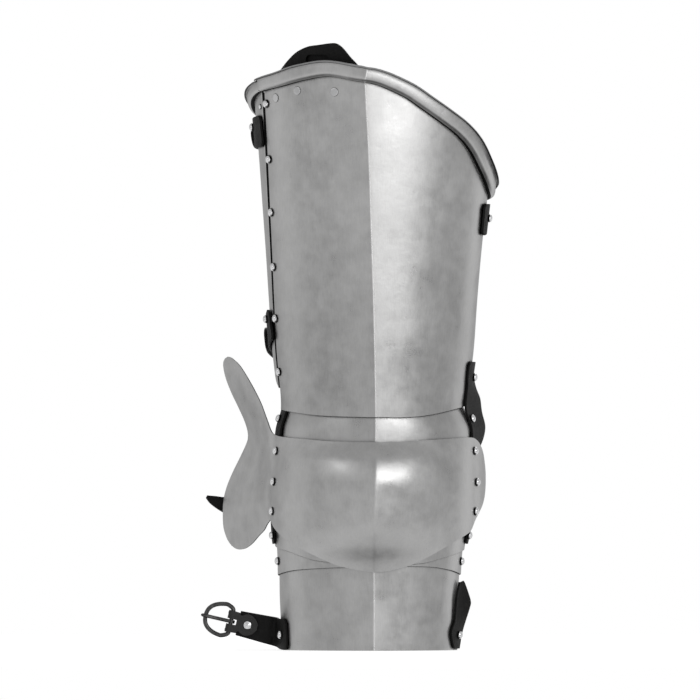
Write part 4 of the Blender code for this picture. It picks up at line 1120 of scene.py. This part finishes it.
def closed_strap(name, outer, inner, depth, bar, tip=(), tail=()):
    """A folded strap, a punched strap passed through its buckle, and the buckle with its prong.

    The route leaves the outer plate, bows back by a depth, and meets the inner plate. The bar is at a
    distance along it. The punched strap ends in a tip that lies on the other one, or in a free tail.
    """
    start, stop = root_points(*outer), root_points(*inner)[::-1]
    leave, meet = start[-1], stop[0]
    middle, half = (leave[0] + meet[0]) / 2, (leave[0] - meet[0]) / 2
    back = []
    for k in range(1, BACK_STEPS):
        angle = pi * k / BACK_STEPS
        back.append((middle + half * cos(angle) + Vector((0.0, depth * sin(angle), 0.0)),
                     leave[1].lerp(meet[1], angle / pi)))
    route = distances(start + back + stop)
    end = route[-1][0]

    low = root_stops(ROOT_START, bar - FOLD_START, 8, 1)
    nose = len(low)
    low += nose_stops(bar, FOLD, FOLD_WIDTH, FOLD)
    low += [(bar - back, level, FOLD_WIDTH) for back, level in laid_back]
    folded = strap(f"{name}_folded", route, low, columns=170, slot=(nose - 0.3, nose + 6.6, CUT_BY_PRONG))
    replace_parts(folded, f"{name}_buckle_strap")

    high = root_stops(LONG_START, end - bar - LONG_RISE, 20, -1, end)
    high += [(bar + ahead, level, STRAP_WIDTH) for ahead, level in threading]
    high += [(bar - along, LONG_LEVEL + lift, width) for along, lift, width in tip]
    threaded = strap(f"{name}_punched", route, high, columns=260, tail=tail)
    holes = []
    for step, level, slot, deep in ((tip_hole,) if tip else ()) + (prong_hole, *spare_holes):
        point, ahead, upright, out = axes_at(route, bar + HOLE_FIRST + HOLE_PITCH * step)
        spot = point + out * level
        spots = [spot - ahead * slot, spot + ahead * slot] if slot else [spot]
        holes.append(punch(spots, out, upright, HOLE_RADIUS, deep))
    cut(threaded, holes)
    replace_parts(threaded, f"{name}_tongue_strap")

    point, ahead, upright, out = axes_at(route, bar)
    middle = point + out * FOLD
    rail = (ahead * FRAME_REACH + out * FRAME_RISE).normalized()
    loop = frame_loop(middle, rail, upright, FRAME_REACH, FRAME_HALF, power=0.5)
    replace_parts(rod(f"{name}_frame", loop, ROD, closed=True), f"{name}_buckle")
    prong = prong_line(middle, rail, upright.cross(rail), prong_profile)
    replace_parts(rod(f"{name}_prong", prong, PRONG, tips=(0.9, 0.7)), f"{name}_buckle")


# distance back from the bar, drop from the level of the long strap, width
plain_tip = ((34.0, 0.0, STRAP_WIDTH), (46.0, -1.0, STRAP_WIDTH), (54.0, -1.6, 23.5), (60.0, -1.8, 19.0),
             (65.0, -2.0, 12.0), (68.0, -2.0, 3.0))
# spots of the knee strap's free end, which hangs out past the wing, and the width at each
knee_tail = (((-88, 88, 163), STRAP_WIDTH), ((-106, 89, 153), STRAP_WIDTH), ((-125, 85, 146), STRAP_WIDTH),
             ((-140, 79, 143.5), 23), ((-151.5, 74, 145.4), 15), ((-162, 70, 149.6), 9), ((-168, 68, 153), 3))
# each end of a strap by its form, turns, heights and level, from its rivet to where it leaves its plate
closed_strap("thigh_upper", (thigh_form, -72.4, -114, 519.0, 513.0, ON_THIGH),
             (thigh_form, 77, 99, 430.0, 432.0, ON_THIGH), depth=78.0, bar=117.0, tip=plain_tip)
closed_strap("thigh_lower", (thigh_form, -78, -114, 327.0, 303.0, ON_THIGH),
             (thigh_form, 80, 99, 274.0, 276.0, -STEEL - ON_STEEL), depth=74.0, bar=100.0, tip=plain_tip)
closed_strap("knee", (leg_form, -67, -99, 169.0, 169.0, -0.4), (leg_form, 76, 99, 169.0, 169.0, -0.5),
             depth=70.0, bar=96.0, tail=knee_tail)

# ---------------------------------------------------------------- open calf buckle
# A strap riveted to the outer side of the greave. Its end is sewn into a chape of thinner leather, folded
# round the bar of a D buckle and held by one broad rivet. The frame and the tongue both turn on the bar.
CALF_SLOPE = radians(13.0)                    # the strap hangs down by this as it runs out from the leg
CALF_ROD = 2.2                                # radius of the frame's wire
CALF_REACH, CALF_HALF = 26.0, 16.3            # the frame's reach from its bar, and half its bar
CALF_PRONG = 1.9                              # radius of the tongue
CALF_STRAP_END = 7.5                          # the strap stops this far from the bar, inside the chape
CHAPE = 1.6                                   # thickness of the chape's leather
CHAPE_FOLD = CALF_ROD + BAR_AIR + CHAPE / 2
CHAPE_NOSE = 22.0                             # its width round the bar
LEAF = LEATHER / 2 + GAP + CHAPE / 2          # level of each of its leaves over the strap's middle
CHAPE_EDGE = 0.3                              # how far its cut edges are rounded
CHAPE_SLOT = (2.1, 9.9, 0.26)                 # stops between which it is slotted, and share of its width
SEWN_GROOVE = 0.25                            # depth of the groove that its seam lies in

outward = Vector((-cos(CALF_SLOPE), 0.0, sin(CALF_SLOPE)))
bar_way = Vector((sin(CALF_SLOPE), 0.0, cos(CALF_SLOPE)))
forward = bar_way.cross(outward)
# from the plate the strap runs out straight to the bar, and its route goes on past that
calf_route = root_points(leg_form, -71, -84, 15.8, 16.0, ON_STEEL)
calf_route += [(BAR_CENTRE - outward * 45.5, UP)]
calf_route += [(BAR_CENTRE - outward * back, bar_way) for back in (38.0, 20.0, 0.0, -20.0)]
calf_route = distances(calf_route)
calf_bar = calf_route[-2][0]
calf_stops = root_stops(ROOT_START, calf_bar - CALF_STRAP_END, 20, 1)
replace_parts(strap("calf_strap", calf_route, calf_stops, columns=110), "calf_buckle_strap")

# distance back from the bar and width of the chape's two leaves, behind the strap and in front of it
back_leaf = ((22.0, 17.0), (18.0, 20.0), (6.5, 21.0))
front_leaf = ((6.5, 20.0), (9.0, 16.2), (11.5, 18.6), (14.5, 21.4), (18.0, 21.2), (22.0, 17.6), (25.0, 12.0),
              (27.0, 5.0))
chape_stops = [(calf_bar - back, -LEAF, width) for back, width in back_leaf]
chape_stops += nose_stops(calf_bar, CHAPE_FOLD, CHAPE_NOSE)
chape_stops += [(calf_bar - back, LEAF, width) for back, width in front_leaf]
waxed_leather = leather_finish("waxed_leather", (0.012, 0.012, 0.0115), (0.030, 0.029, 0.028), shine=0.4)
chape = strap("chape", calf_route, chape_stops, columns=200, thickness=CHAPE, groove=SEWN_GROOVE,
              edge=CHAPE_EDGE, skin=waxed_leather, slot=CHAPE_SLOT)
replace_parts(chape, "calf_chape")

calf_loop = frame_loop(BAR_CENTRE, outward, bar_way, CALF_REACH, CALF_HALF, power=0.8)
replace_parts(rod("calf_frame", calf_loop, CALF_ROD, closed=True, body="buckle_frame"), "buckle_frame")

# reach from the bar and level over it, along the tongue, which lies on the frame's far rail
tongue_profile = ((1.0, 3.75), (3.5, 3.8), (8.0, 3.9), (16.0, 4.1), (22.0, 4.45), (26.0, 4.6), (29.0, 4.45),
                  (30.5, 4.1))
tongue_line = prong_line(BAR_CENTRE, outward, forward, tongue_profile)
tongue = rod("calf_tongue", tongue_line, CALF_PRONG, tips=(0.9, 0.5), body="buckle_tongue")
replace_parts(tongue, "buckle_tongue")

EYE_IN = CALF_ROD + 0.35                      # inner radius of the eye by which the tongue turns on the bar
EYE_WALL, EYE_HALF = 1.3, 1.7                 # thickness of the eye, and half its length along the bar
EYE_EDGE = 0.4                                # how far its edges are rounded
eye_out = EYE_IN + EYE_WALL
bm = bmesh.new()
corners = ((EYE_IN, -EYE_HALF), (eye_out, -EYE_HALF), (eye_out, EYE_HALF), (EYE_IN, EYE_HALF))
section = [bm.verts.new(BAR_CENTRE + outward * radius + bar_way * level) for radius, level in corners]
edges = [bm.edges.new((section[k - 1], section[k])) for k in range(len(section))]
bmesh.ops.spin(bm, geom=section + edges, cent=BAR_CENTRE, axis=bar_way, angle=2 * pi, steps=32,
               use_merge=True)
bmesh.ops.remove_doubles(bm, verts=bm.verts, dist=0.001)
bmesh.ops.recalc_face_normals(bm, faces=bm.faces)
bmesh.ops.transform(bm, verts=bm.verts, matrix=Matrix.Scale(MM, 4) @ Matrix.Translation(STAND))
eye = finished("calf_tongue_eye", bm, [black_iron], "buckle_tongue")
rounded(eye, EYE_EDGE, angle=30)
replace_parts(eye, "buckle_tongue")

# ---------------------------------------------------------------- loose calf strap
# The other half of the calf strap, riveted by one end to the inner side of the greave. Its free end stands
# a little off the steel and tapers to a blunt point.
LOOSE_CORNER = 1.2                            # radius of its cut corners
# height, turns of the front and back edges, how far each of the two stands off
loose_band = [
    (1.5, 73, 85, 2.8, 2.9),
    (5, 71, 86, 2.8, 3.2),
    (18, 68.5, 86, 2.8, 5.5),
    (30, 73.5, 86, 2.9, 9.0),
    (42, 75, 87, 3.0, 12.6),
    (48, 75.5, 87, 3.1, 13.6),
    (57, 76.5, 86, 3.4, 11.0),
    (68, 79, 83, 4.0, 7.0),
]
loose_strap = leather_sheet("loose_strap", 16, 60, band_surface(leg_form, loose_band, corner=LOOSE_CORNER))
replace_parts(loose_strap, "calf_tongue_strap")

# ---------------------------------------------------------------- rivets
# Solid steel rivets. Each is pushed through its layers from outside, and its tail is hammered over inside.
# The heads on the seam, the leathers and the straps are polished domes; the three that hold the hip tab
# are nearly flush.
SHANK, TAIL = 1.5, 2.7                        # radius of a rivet's shank and of its tail
TAIL_RISE = 0.9                               # how far its tail stands up inside
FAR_OUT, SEARCH = 12, 30                      # the outermost layer is sought from there, over this distance
RAY_OUT, RAY_IN = 9.0, 13.0                   # and all the layers from there out to there in
RAYS = 8                                      # along rays round the axis, and one on it
PAST_FACE = 0.01                              # a ray starts again this far past a face that it has met
SEAT_SHARE = 0.8                              # share of a head's radius that rests on its layer
SHADE_FOOT = 0.36                             # share of a head's rise that is painted black as shade

# radius and height of each ring of a head, as shares of its radius and rise
dome_head = [(0.80, 0.0), (0.93, 0.09), (1.0, 0.22), (0.99, 0.36), (0.92, 0.54), (0.78, 0.73), (0.57, 0.88),
             (0.3, 0.97), (0.0, 1.0)]
flush_head = [(1.0, 0.0), (1.0, 0.55), (0.95, 0.8), (0.8, 0.92), (0.5, 0.98), (0.0, 1.0)]
cap_head = [(0.9, 0.0), (1.0, 0.15), (0.97, 0.4), (0.82, 0.62), (0.6, 0.7), (0.5, 0.74), (0.42, 0.9),
            (0.25, 1.0), (0.0, 1.02)]
tail_head = [(0.0, 1.0), (0.4, 0.97), (0.75, 0.8), (0.97, 0.45), (0.95, 0.0)]


def rivet_finish(name, colour, rough):
    """Polished steel with a few file marks, and painted shade round the foot of each head."""
    finish = Finish(name, Metallic=1.0)
    spot = finish.place()
    mark = finish.noise(spot, scale=900.0, detail=3.0, roughness=0.6)
    painted_shade = finish.crevice(reach=0.005, low=0.4, high=0.72)
    finish.colour(mark, [part * 0.85 for part in colour], colour, painted_shade, (0.01, 0.01, 0.01))
    finish.feed("Roughness", rough + mark * 0.12 + painted_shade * 0.3)
    finish.relief((mark, 0.00004))
    return finish.material


polished_steel = rivet_finish("polished_steel", (0.93, 0.93, 0.94), rough=0.10)
flush_steel = rivet_finish("flush_steel", (0.66, 0.66, 0.665), rough=0.24)
trees = {}


def solid_tree(piece):
    """Search tree over a piece's finished faces, in metres."""
    if piece.name not in trees:
        mesh = piece.evaluated_get(bpy.context.evaluated_depsgraph_get()).to_mesh()
        mesh.calc_loop_triangles()
        faces = [tuple(triangle.vertices) for triangle in mesh.loop_triangles]
        trees[piece.name] = BVHTree.FromPolygons([vertex.co for vertex in mesh.vertices], faces)
    return trees[piece.name]


def levels_at(layers, seat, way, radius):
    """Lowest and highest level of the layers along a rivet's axis, within a radius of it."""
    across = way.orthogonal().normalized()
    levels = []
    for k in range(RAYS + 1):
        around = Matrix.Rotation(2 * pi * k / RAYS, 3, way) @ across * (radius * MM if k else 0.0)
        for layer in layers:
            level = RAY_OUT
            while level > -RAY_IN:
                start = seat + around + way * level * MM
                place, _, _, distance = solid_tree(layer).ray_cast(start, -way, (level + RAY_IN) * MM)
                if place is None:
                    break
                level -= distance / MM + PAST_FACE
                levels.append(level)
    return min(levels), max(levels)


def drive(bm, node, layers, radius, rise, head, facing):
    """Turn one rivet on its axis, with its head on the outermost layer and its tail on the innermost.

    It stands square to the layers where its node is, reached from outside or from the way it is facing.
    """
    low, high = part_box(node)
    middle = (low + high) / 2
    way = facing or (middle - Vector((STAND.x * MM, STAND.y * MM, middle.z))).normalized()
    for _ in range(2):
        start = middle + way * FAR_OUT * MM
        hits = [solid_tree(layer).ray_cast(start, -way, SEARCH * MM) for layer in layers]
        seat, way = min((hit for hit in hits if hit[0] is not None), key=lambda hit: hit[3])[:2]
    top = levels_at(layers, seat, way, radius * SEAT_SHARE)[1]
    foot = levels_at(layers, seat, way, TAIL)[0]
    line = [(TAIL * wide, foot - TAIL_RISE * deep) for wide, deep in tail_head]
    line += [(SHANK, foot), (SHANK, top)] + [(radius * wide, top + rise * high) for wide, high in head]
    turned = bmesh.new()
    verts = [turned.verts.new((wide, 0.0, level)) for wide, level in line]
    edges = [turned.edges.new(pair) for pair in zip(verts, verts[1:])]
    bmesh.ops.spin(turned, geom=verts + edges, cent=(0, 0, 0), axis=UP, angle=2 * pi, steps=20,
                   use_merge=True)
    bmesh.ops.remove_doubles(turned, verts=turned.verts, dist=0.001)
    bmesh.ops.recalc_face_normals(turned, faces=turned.faces)
    for face in turned.faces:
        # the foot of each head takes the black finish: painted shade
        face.material_index = 1 if -0.1 < face.calc_center_median().z - top < rise * SHADE_FOOT else 0
    side = way.orthogonal().normalized()
    axes = Matrix((side, way.cross(side), way)).transposed().to_4x4()
    place = Matrix.Translation(seat) @ axes @ Matrix.Scale(MM, 4)
    bmesh.ops.transform(turned, verts=turned.verts, matrix=place)
    mesh = bpy.data.meshes.new(node)
    turned.to_mesh(mesh)
    turned.free()
    bm.from_mesh(mesh)


def rivet_set(name, places, radius=4.1, rise=3.9, head=dome_head, finish=polished_steel, facing=None):
    """One piece of all the like rivets at the given nodes, each through its layers."""
    bm = bmesh.new()
    for node, layers in places:
        drive(bm, node, layers, radius, rise, head, facing)
    piece = finished(name, bm, [finish, painted_shade_steel])
    for node, _ in places:
        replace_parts(piece, node)


scene_piece = bpy.data.objects
greave_plate = scene_piece["greave_steel"]
seam_layers = [thigh_plate, side_plate]
seam_places = [(f"rivet_seam_{k}", seam_layers) for k in range(1, 6)]
seam_places += [("rivet_seam_6", seam_layers + [scene_piece["outer_leather"]])]
rivet_set("seam_rivets", seam_places)
rivet_set("lip_rivet", [("rivet_side_lip", [side_plate])], radius=2.6, rise=1.8)
rivet_set("tab_rivets", [(f"rivet_tab_{k}", [thigh_plate, hip_tab, hip_back]) for k in range(1, 4)],
          radius=4.3, rise=0.7, head=flush_head, finish=flush_steel)
knee_places = []
lame_a, lame_b = scene_piece["lame_a_steel"], scene_piece["lame_b_steel"]
for side in ("outer", "inner"):
    upper, lower = scene_piece[f"{side}_leather"], scene_piece[f"low_{side}_leather"]
    knee_strap = scene_piece["knee_folded" if side == "outer" else "knee_punched"]
    knee_places += [
        (f"rivet_upper_lame_{side}", [upper, upper_lame]),
        (f"rivet_poleyn_high_{side}", [poleyn, upper]),
        (f"rivet_poleyn_middle_{side}", [poleyn, upper, knee_strap]),
        (f"rivet_poleyn_low_{side}", [poleyn, upper]),
        (f"rivet_lame_a_{side}", [upper, lame_a, lower]),
        (f"rivet_lame_b_{side}", [lame_b, lower]),
    ]
rivet_set("knee_rivets", knee_places)
rivet_set("strap_rivets", [
    ("rivet_thigh_upper_outer", [scene_piece["thigh_upper_folded"], side_plate]),
    ("rivet_thigh_upper_inner", [scene_piece["thigh_upper_punched"], thigh_plate]),
    ("rivet_thigh_lower_outer", [scene_piece["thigh_lower_folded"], side_plate]),
    ("rivet_thigh_lower_inner",
     [scene_piece["inner_leather"], thigh_plate, scene_piece["thigh_lower_punched"]]),
    ("rivet_calf_outer", [scene_piece["calf_strap"], greave_plate, scene_piece["low_outer_leather"]]),
    ("rivet_calf_inner", [loose_strap, greave_plate, scene_piece["low_inner_leather"]]),
])
rivet_set("chape_rivet", [("rivet_chape", [chape, scene_piece["calf_strap"]])],
          radius=4.2, rise=1.5, head=cap_head, facing=FRONT)

# ---------------------------------------------------------------- floor, light and camera
# A round pale floor, which the steel doesn't mirror, in a white tent that is dark straight under the leg
# and glows most between there and level. The key light is a large soft box at the right of the camera.
# Narrow ones near the middle draw the glints beside the ridge, and others light the two sides and the back.
WHITE = (1.0, 1.0, 1.0, 1.0)
FLOOR_RADIUS = 1.6
bm = bmesh.new()
bmesh.ops.create_circle(bm, cap_ends=True, segments=128, radius=FLOOR_RADIUS)
mesh = bpy.data.meshes.new("floor")
bm.to_mesh(mesh)
bm.free()
floor = bpy.data.objects.new("floor", mesh)
bpy.context.collection.objects.link(floor)
floor_paint = Finish("floor_paint", Base_Color=(0.8, 0.8, 0.8, 1.0), Roughness=0.9, Emission_Color=WHITE,
                     Emission_Strength=0.6)
mesh.materials.append(floor_paint.material)
floor.visible_glossy = floor.visible_shadow = False


def soft_box(name, azimuth, height, distance, width, tall, radiance, aim):
    """A rectangular light aimed at a height on the leg, at an angle round to the right of the camera."""
    lamp = bpy.data.lights.new(name, "AREA")
    lamp.shape, lamp.size, lamp.size_y, lamp.energy = "RECTANGLE", width, tall, radiance * pi * width * tall
    holder = bpy.data.objects.new(name, lamp)
    turn = radians(azimuth)
    holder.location = (distance * sin(turn), -distance * cos(turn), height)
    holder.rotation_euler = (Vector((0.0, 0.0, aim)) - holder.location).to_track_quat("-Z", "Y").to_euler()
    holder.visible_camera = False
    bpy.context.collection.objects.link(holder)


# name, angle round, height, distance, width, height of the box, radiance, height it is aimed at
for row in (("key_box", 38, 0.62, 2.0, 0.95, 0.50, 3.1, 0.62),
            ("high_key_box", 34, 1.02, 2.0, 1.20, 0.42, 1.1, 1.02),
            ("ridge_box", 19, 0.35, 2.0, 0.36, 1.00, 1.15, 0.35),
            ("front_box", 4, 0.30, 2.0, 0.24, 1.20, 0.7, 0.30),
            ("left_box", -32, 0.30, 2.0, 0.90, 1.40, 0.12, 0.30),
            ("high_left_box", -56, 1.05, 2.0, 0.70, 0.44, 1.5, 1.05),
            ("far_left_box", -100, 0.30, 2.0, 1.20, 1.40, 0.22, 0.30),
            ("right_box", 125, 0.30, 2.0, 1.00, 1.40, 0.35, 0.30),
            ("rear_box", 170, 1.50, 1.8, 1.20, 0.80, 1.8, 0.30)):
    soft_box(*row)

TENT_STRENGTH = 0.86
# share of the way from straight down to straight up, and how bright the tent is there
tent_glow = ((0.0, 0.06), (0.03, 0.10), (0.075, 0.36), (0.13, 0.80), (0.19, 0.97), (0.26, 0.86), (0.33, 0.70),
             (0.43, 0.60), (0.5, 0.57), (0.75, 0.55), (1.0, 0.6))
world = bpy.data.worlds.new("tent")
world.use_nodes = True
bpy.context.scene.world = world
sky = Nodes(world.node_tree)
sky.tree.nodes.clear()
direction = sky.node("ShaderNodeTexCoord", output="Generated")
rise = sky.node("ShaderNodeSeparateXYZ", {}, {"Vector": direction}, "Z")
share = sky.node("ShaderNodeMapRange", {}, {"Value": rise, "From Min": -1.0, "From Max": 1.0})
glow = sky.node("ShaderNodeValToRGB", {"stops": [(place, [level] * 3) for place, level in tent_glow]},
                {"Fac": share})
lit = sky.node("ShaderNodeBackground", {}, {"Color": glow, "Strength": TENT_STRENGTH})
shown = sky.node("ShaderNodeBackground", {}, {"Color": WHITE})
seen = sky.node("ShaderNodeLightPath", output="Is Camera Ray")
tent = sky.node("ShaderNodeMixShader", {}, {0: seen, 1: lit, 2: shown})
sky.tree.links.new(tent.socket, sky.tree.nodes.new("ShaderNodeOutputWorld").inputs["Surface"])

CAMERA_DISTANCE = 30.0
CAMERA_HEIGHT = 0.3
FIELD = 0.7                                   # width of the view at the leg, in metres
camera_data = bpy.data.cameras.new("camera")
camera_data.lens = camera_data.sensor_width * CAMERA_DISTANCE / FIELD
camera_data.clip_start, camera_data.clip_end = 1.0, 100.0
camera = bpy.data.objects.new("camera", camera_data)
camera.location = (0.0, -CAMERA_DISTANCE, CAMERA_HEIGHT)
camera.rotation_euler = (pi / 2, 0.0, 0.0)
bpy.context.collection.objects.link(camera)
bpy.context.scene.camera = camera
bpy.context.scene.view_settings.view_transform = "Standard"
